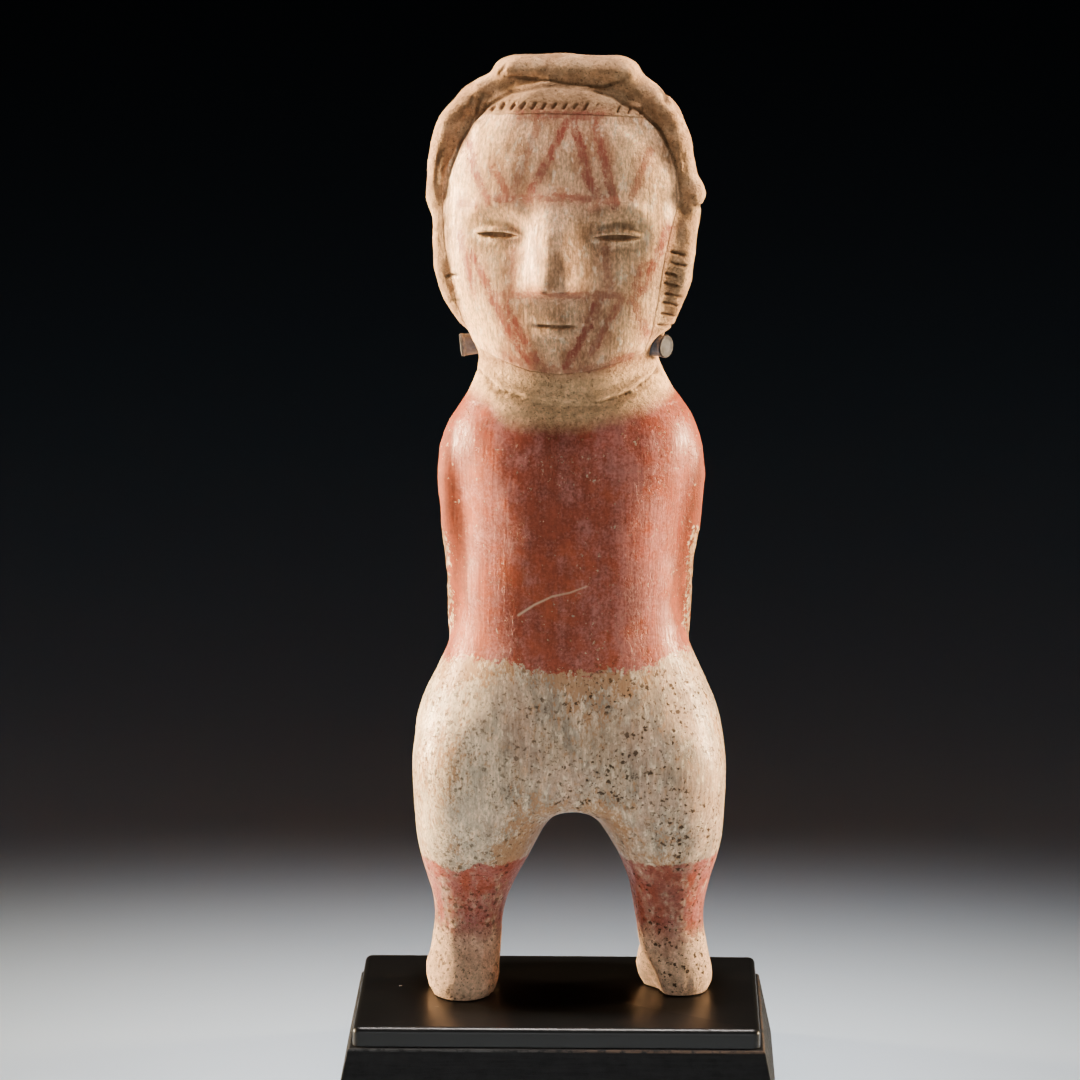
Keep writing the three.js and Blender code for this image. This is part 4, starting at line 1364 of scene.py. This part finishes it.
def spool_clay(colours, groups):
    """Smooth grey-brown clay with lighter rubbed edges and a darker end."""
    material, tree, shader, coords = new_material("spool_clay")
    mottle = placed_group(tree, groups["mottle"], Vector=coords, Scale=150.0)
    edge = add(tree, "ShaderNodeNewGeometry").outputs["Pointiness"]
    rubbed = times(tree, step(tree, edge, 0.505, 0.56), step(tree, mottle["Wide"], 0.3, 0.6, 0.4, 1.0))
    base = mix(tree, rubbed, colour(colours.body), colour(colours.rim))
    base = toned(tree, base, mottle, SPOOL_TONES)
    base = patched(tree, base, colours, mottle, SPOOL_PATCHES)
    rough = step(tree, mottle["Middle"], 0.3, 0.7, 0.6, 0.8)
    plug_in(tree, shader, base, rough, mottle["Grain"], SPOOL_RELIEF, SPOOL_SPECULAR)
    return material


def polished_plate(finish, groups):
    """Polished black with a little dust."""
    material, tree, shader, coords = new_material("polished_black")
    mottle = placed_group(tree, groups["mottle"], Vector=coords, Scale=30.0)
    dust = placed_group(tree, groups["specks"], Vector=coords, Scale=150.0, Share=0.10, Size=0.08)["Mask"]
    base = mix(tree, times(tree, dust, 0.7), colour(finish.plate), colour(finish.plate_dust))
    rough = step(tree, mottle["Wide"], 0.3, 0.7, 0.30, 0.36)
    rough = larger(tree, rough, times(tree, dust, 0.8))
    plug_in(tree, shader, base, rough, mottle["Middle"], PLATE_RELIEF, PLATE_SPECULAR)
    return material


def worn_edge(tree, coords, mottle):
    """Where the stain has rubbed off the chamfer round the block's top."""
    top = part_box("base_block")[1].z
    height = add(tree, "ShaderNodeSeparateXYZ", {0: coords}).outputs[2]
    chamfer = step(tree, height, top - 1.2 * MILLIMETRE, top - 0.6 * MILLIMETRE)
    chamfer = times(tree, chamfer, step(tree, height, top, top - 0.1 * MILLIMETRE))
    return times(tree, chamfer, step(tree, mottle["Middle"], 0.36, 0.56))


def black_wood(finish, groups):
    """Rough black stain over wood, worn along the top edge: greyish on the left, brown on the right."""
    material, tree, shader, coords = new_material("black_wood")
    mottle = placed_group(tree, groups["mottle"], Vector=coords, Scale=90.0)
    dust = placed_group(tree, groups["specks"], Vector=coords, Scale=170.0, Share=0.05, Size=0.09)["Mask"]
    mottle["Wood"] = cloud(tree, stretched(tree, coords, WOOD_GRAIN), 1.0, 4.0, 0.65)
    across = add(tree, "ShaderNodeSeparateXYZ", {0: coords}).outputs[0]
    worn = mix(tree, step(tree, across, -0.02, 0.03), colour(finish.worn_grey), colour(finish.worn))
    base = mix(tree, times(tree, worn_edge(tree, coords, mottle), 0.8), colour(finish.block), worn)
    base = toned(tree, base, mottle, WOOD_TONES)
    base = mix(tree, times(tree, dust, 0.7), base, colour(finish.block_dust))
    rough = step(tree, mottle["Middle"], 0.3, 0.7, 0.55, 0.8)
    relief = weighted(tree, (mottle["Wood"], 1.0), (mottle["Grain"], 0.8))
    plug_in(tree, shader, base, rough, relief, WOOD_RELIEF, WOOD_SPECULAR)
    return material


def shared_groups():
    """The node groups that several materials use, built once."""
    known = bpy.data.node_groups
    return {
        "streaks": known.get("Polishing streaks") or streak_group(),
        "specks": known.get("Specks") or speck_group(),
        "mottle": known.get("Mottle") or mottle_group(),
        "craze": known.get("Crazing") or craze_group(),
    }


# Studio

CAMERA_PLACE = Vector((0.0251, -1.5606, 0.5274))
CAMERA_DOWN = math.radians(12.27)
CAMERA_TURN = math.radians(1.15)
SENSOR_WIDTH = 36
FLOOR_HALF = 9
FLOOR_ROUGHNESS = 0.6

# Each light: where it stands, what it aims at, its width and height in metres, and how far its light spreads
LEFT_LIGHT = ((-0.95, 0.18, 0.42), (0, -0.15, 0.4), (0.36, 0.7), math.radians(30))
RIGHT_LIGHT = ((0.95, 0.14, 0.45), (0, -0.15, 0.4), (0.36, 0.7), math.radians(30))
TOP_LIGHT = ((0, 0, 1.5), (0, -0.03, 0.1), (0.4, 0.2), math.radians(20))
FRONT_CARD = ((0, -1.7, 0.3), (0, 0, 0.22), (2.1, 0.3), math.radians(120))


def floor(studio):
    bm = bmesh.new()
    bmesh.ops.create_grid(bm, x_segments=2, y_segments=2, size=FLOOR_HALF)
    made = place_in_scene(mesh_from(bm, "floor"), "floor")
    material, tree, shader, coords = new_material("pale_floor")
    tone = cloud(tree, coords, 6.0, 2.0)
    patches = step(tree, tone, 0.3, 0.7, 0.0, 0.06)
    base = mix(tree, patches, colour(studio.floor), colour(studio.floor_patches))
    tree.links.new(base, shader.inputs["Base Color"])
    shader.inputs["Roughness"].default_value = FLOOR_ROUGHNESS
    made.data.materials.append(material)


def soft_light(name, layout, power, tint=(1, 1, 1)):
    place, target, sides, spread = layout
    data = bpy.data.lights.new(name, "AREA")
    data.shape = "RECTANGLE"
    data.size, data.size_y = sides
    data.energy = power
    data.spread = spread
    data.color = tint
    made = bpy.data.objects.new(name, data)
    bpy.context.scene.collection.objects.link(made)
    made.location = place
    made.rotation_euler = (Vector(target) - Vector(place)).to_track_quat("-Z", "Y").to_euler()


def lights(studio):
    """Two warm upright lights at the sides, a weak one above, and a wide dim one behind the camera."""
    soft_light("left_light", LEFT_LIGHT, studio.left_power, studio.side_colour)
    soft_light("right_light", RIGHT_LIGHT, studio.right_power, studio.side_colour)
    soft_light("top_light", TOP_LIGHT, studio.top_power, studio.top_colour)
    soft_light("front_card", FRONT_CARD, studio.card_power)


def room(studio):
    world = bpy.data.worlds.new("room")
    world.use_nodes = True
    world.node_tree.nodes["Background"].inputs[0].default_value = (1, 1, 1, 1)
    world.node_tree.nodes["Background"].inputs[1].default_value = studio.room
    bpy.context.scene.world = world


def camera(studio):
    data = bpy.data.cameras.new("camera")
    data.lens = studio.lens
    data.sensor_width = SENSOR_WIDTH
    made = bpy.data.objects.new("camera", data)
    bpy.context.scene.collection.objects.link(made)
    made.location = CAMERA_PLACE
    made.rotation_euler = (math.radians(90) - CAMERA_DOWN, 0, CAMERA_TURN)
    bpy.context.scene.camera = made


# Operators and panel


class FIGURE_OT_clay(Operator):
    """Build the clay figure's skin, with its slips and face paint"""

    bl_idname = "nayarit.clay"
    bl_label = "Clay figure"

    def execute(self, context):
        mesh = worked_clay(context.scene.clay_shape)
        material = slipped_clay(context.scene.clay_colours, shared_groups())
        dress(mesh, "figure_piece", "slipped_clay", material, "figure")
        return {"FINISHED"}


class FIGURE_OT_spools(Operator):
    """Build the two ear spools"""

    bl_idname = "nayarit.spools"
    bl_label = "Ear spools"

    def execute(self, context):
        material = spool_clay(context.scene.spool_colours, shared_groups())
        for node in SPOOLS:
            dress(spool_mesh(node), node + "_piece", "spool_clay", material, node)
        return {"FINISHED"}


class FIGURE_OT_stand(Operator):
    """Build the polished plate and the wooden block under it"""

    bl_idname = "nayarit.stand"
    bl_label = "Stand"

    def execute(self, context):
        finish = context.scene.stand_finish
        groups = shared_groups()
        plate = polished_plate(finish, groups)
        dress(plate_mesh(finish), "base_plate_piece", "polished_black", plate, "base_plate")
        block = black_wood(finish, groups)
        dress(block_mesh(finish), "base_block_piece", "black_wood", block, "base_block")
        return {"FINISHED"}


class FIGURE_OT_stage(Operator):
    """Build the floor, the lights and the camera"""

    bl_idname = "nayarit.stage"
    bl_label = "Studio"

    def execute(self, context):
        studio = context.scene.studio
        floor(studio)
        lights(studio)
        room(studio)
        camera(studio)
        return {"FINISHED"}


OPERATORS = (FIGURE_OT_stage, FIGURE_OT_clay, FIGURE_OT_spools, FIGURE_OT_stand)


class FIGURE_PT_panel(Panel):
    """Lists the pieces that can be built"""

    bl_idname = "FIGURE_PT_panel"
    bl_label = "Clay figure"
    bl_space_type = "VIEW_3D"
    bl_region_type = "UI"
    bl_category = "Figure"

    def draw(self, context):
        for operator in OPERATORS:
            self.layout.operator(operator.bl_idname)


SETTINGS = {
    "clay_shape": ClayShape,
    "clay_colours": ClayColours,
    "spool_colours": SpoolColours,
    "stand_finish": StandFinish,
    "studio": Studio,
}


def register():
    for kind in (*SETTINGS.values(), *OPERATORS, FIGURE_PT_panel):
        bpy.utils.register_class(kind)
    for name, kind in SETTINGS.items():
        setattr(bpy.types.Scene, name, PointerProperty(type=kind))


def unregister():
    for name in SETTINGS:
        delattr(bpy.types.Scene, name)
    for kind in reversed((*SETTINGS.values(), *OPERATORS, FIGURE_PT_panel)):
        bpy.utils.unregister_class(kind)


def main():
    register()
    bpy.ops.nayarit.stage()
    bpy.ops.nayarit.clay()
    bpy.ops.nayarit.spools()
    bpy.ops.nayarit.stand()


if __name__ == "__main__":
    main()
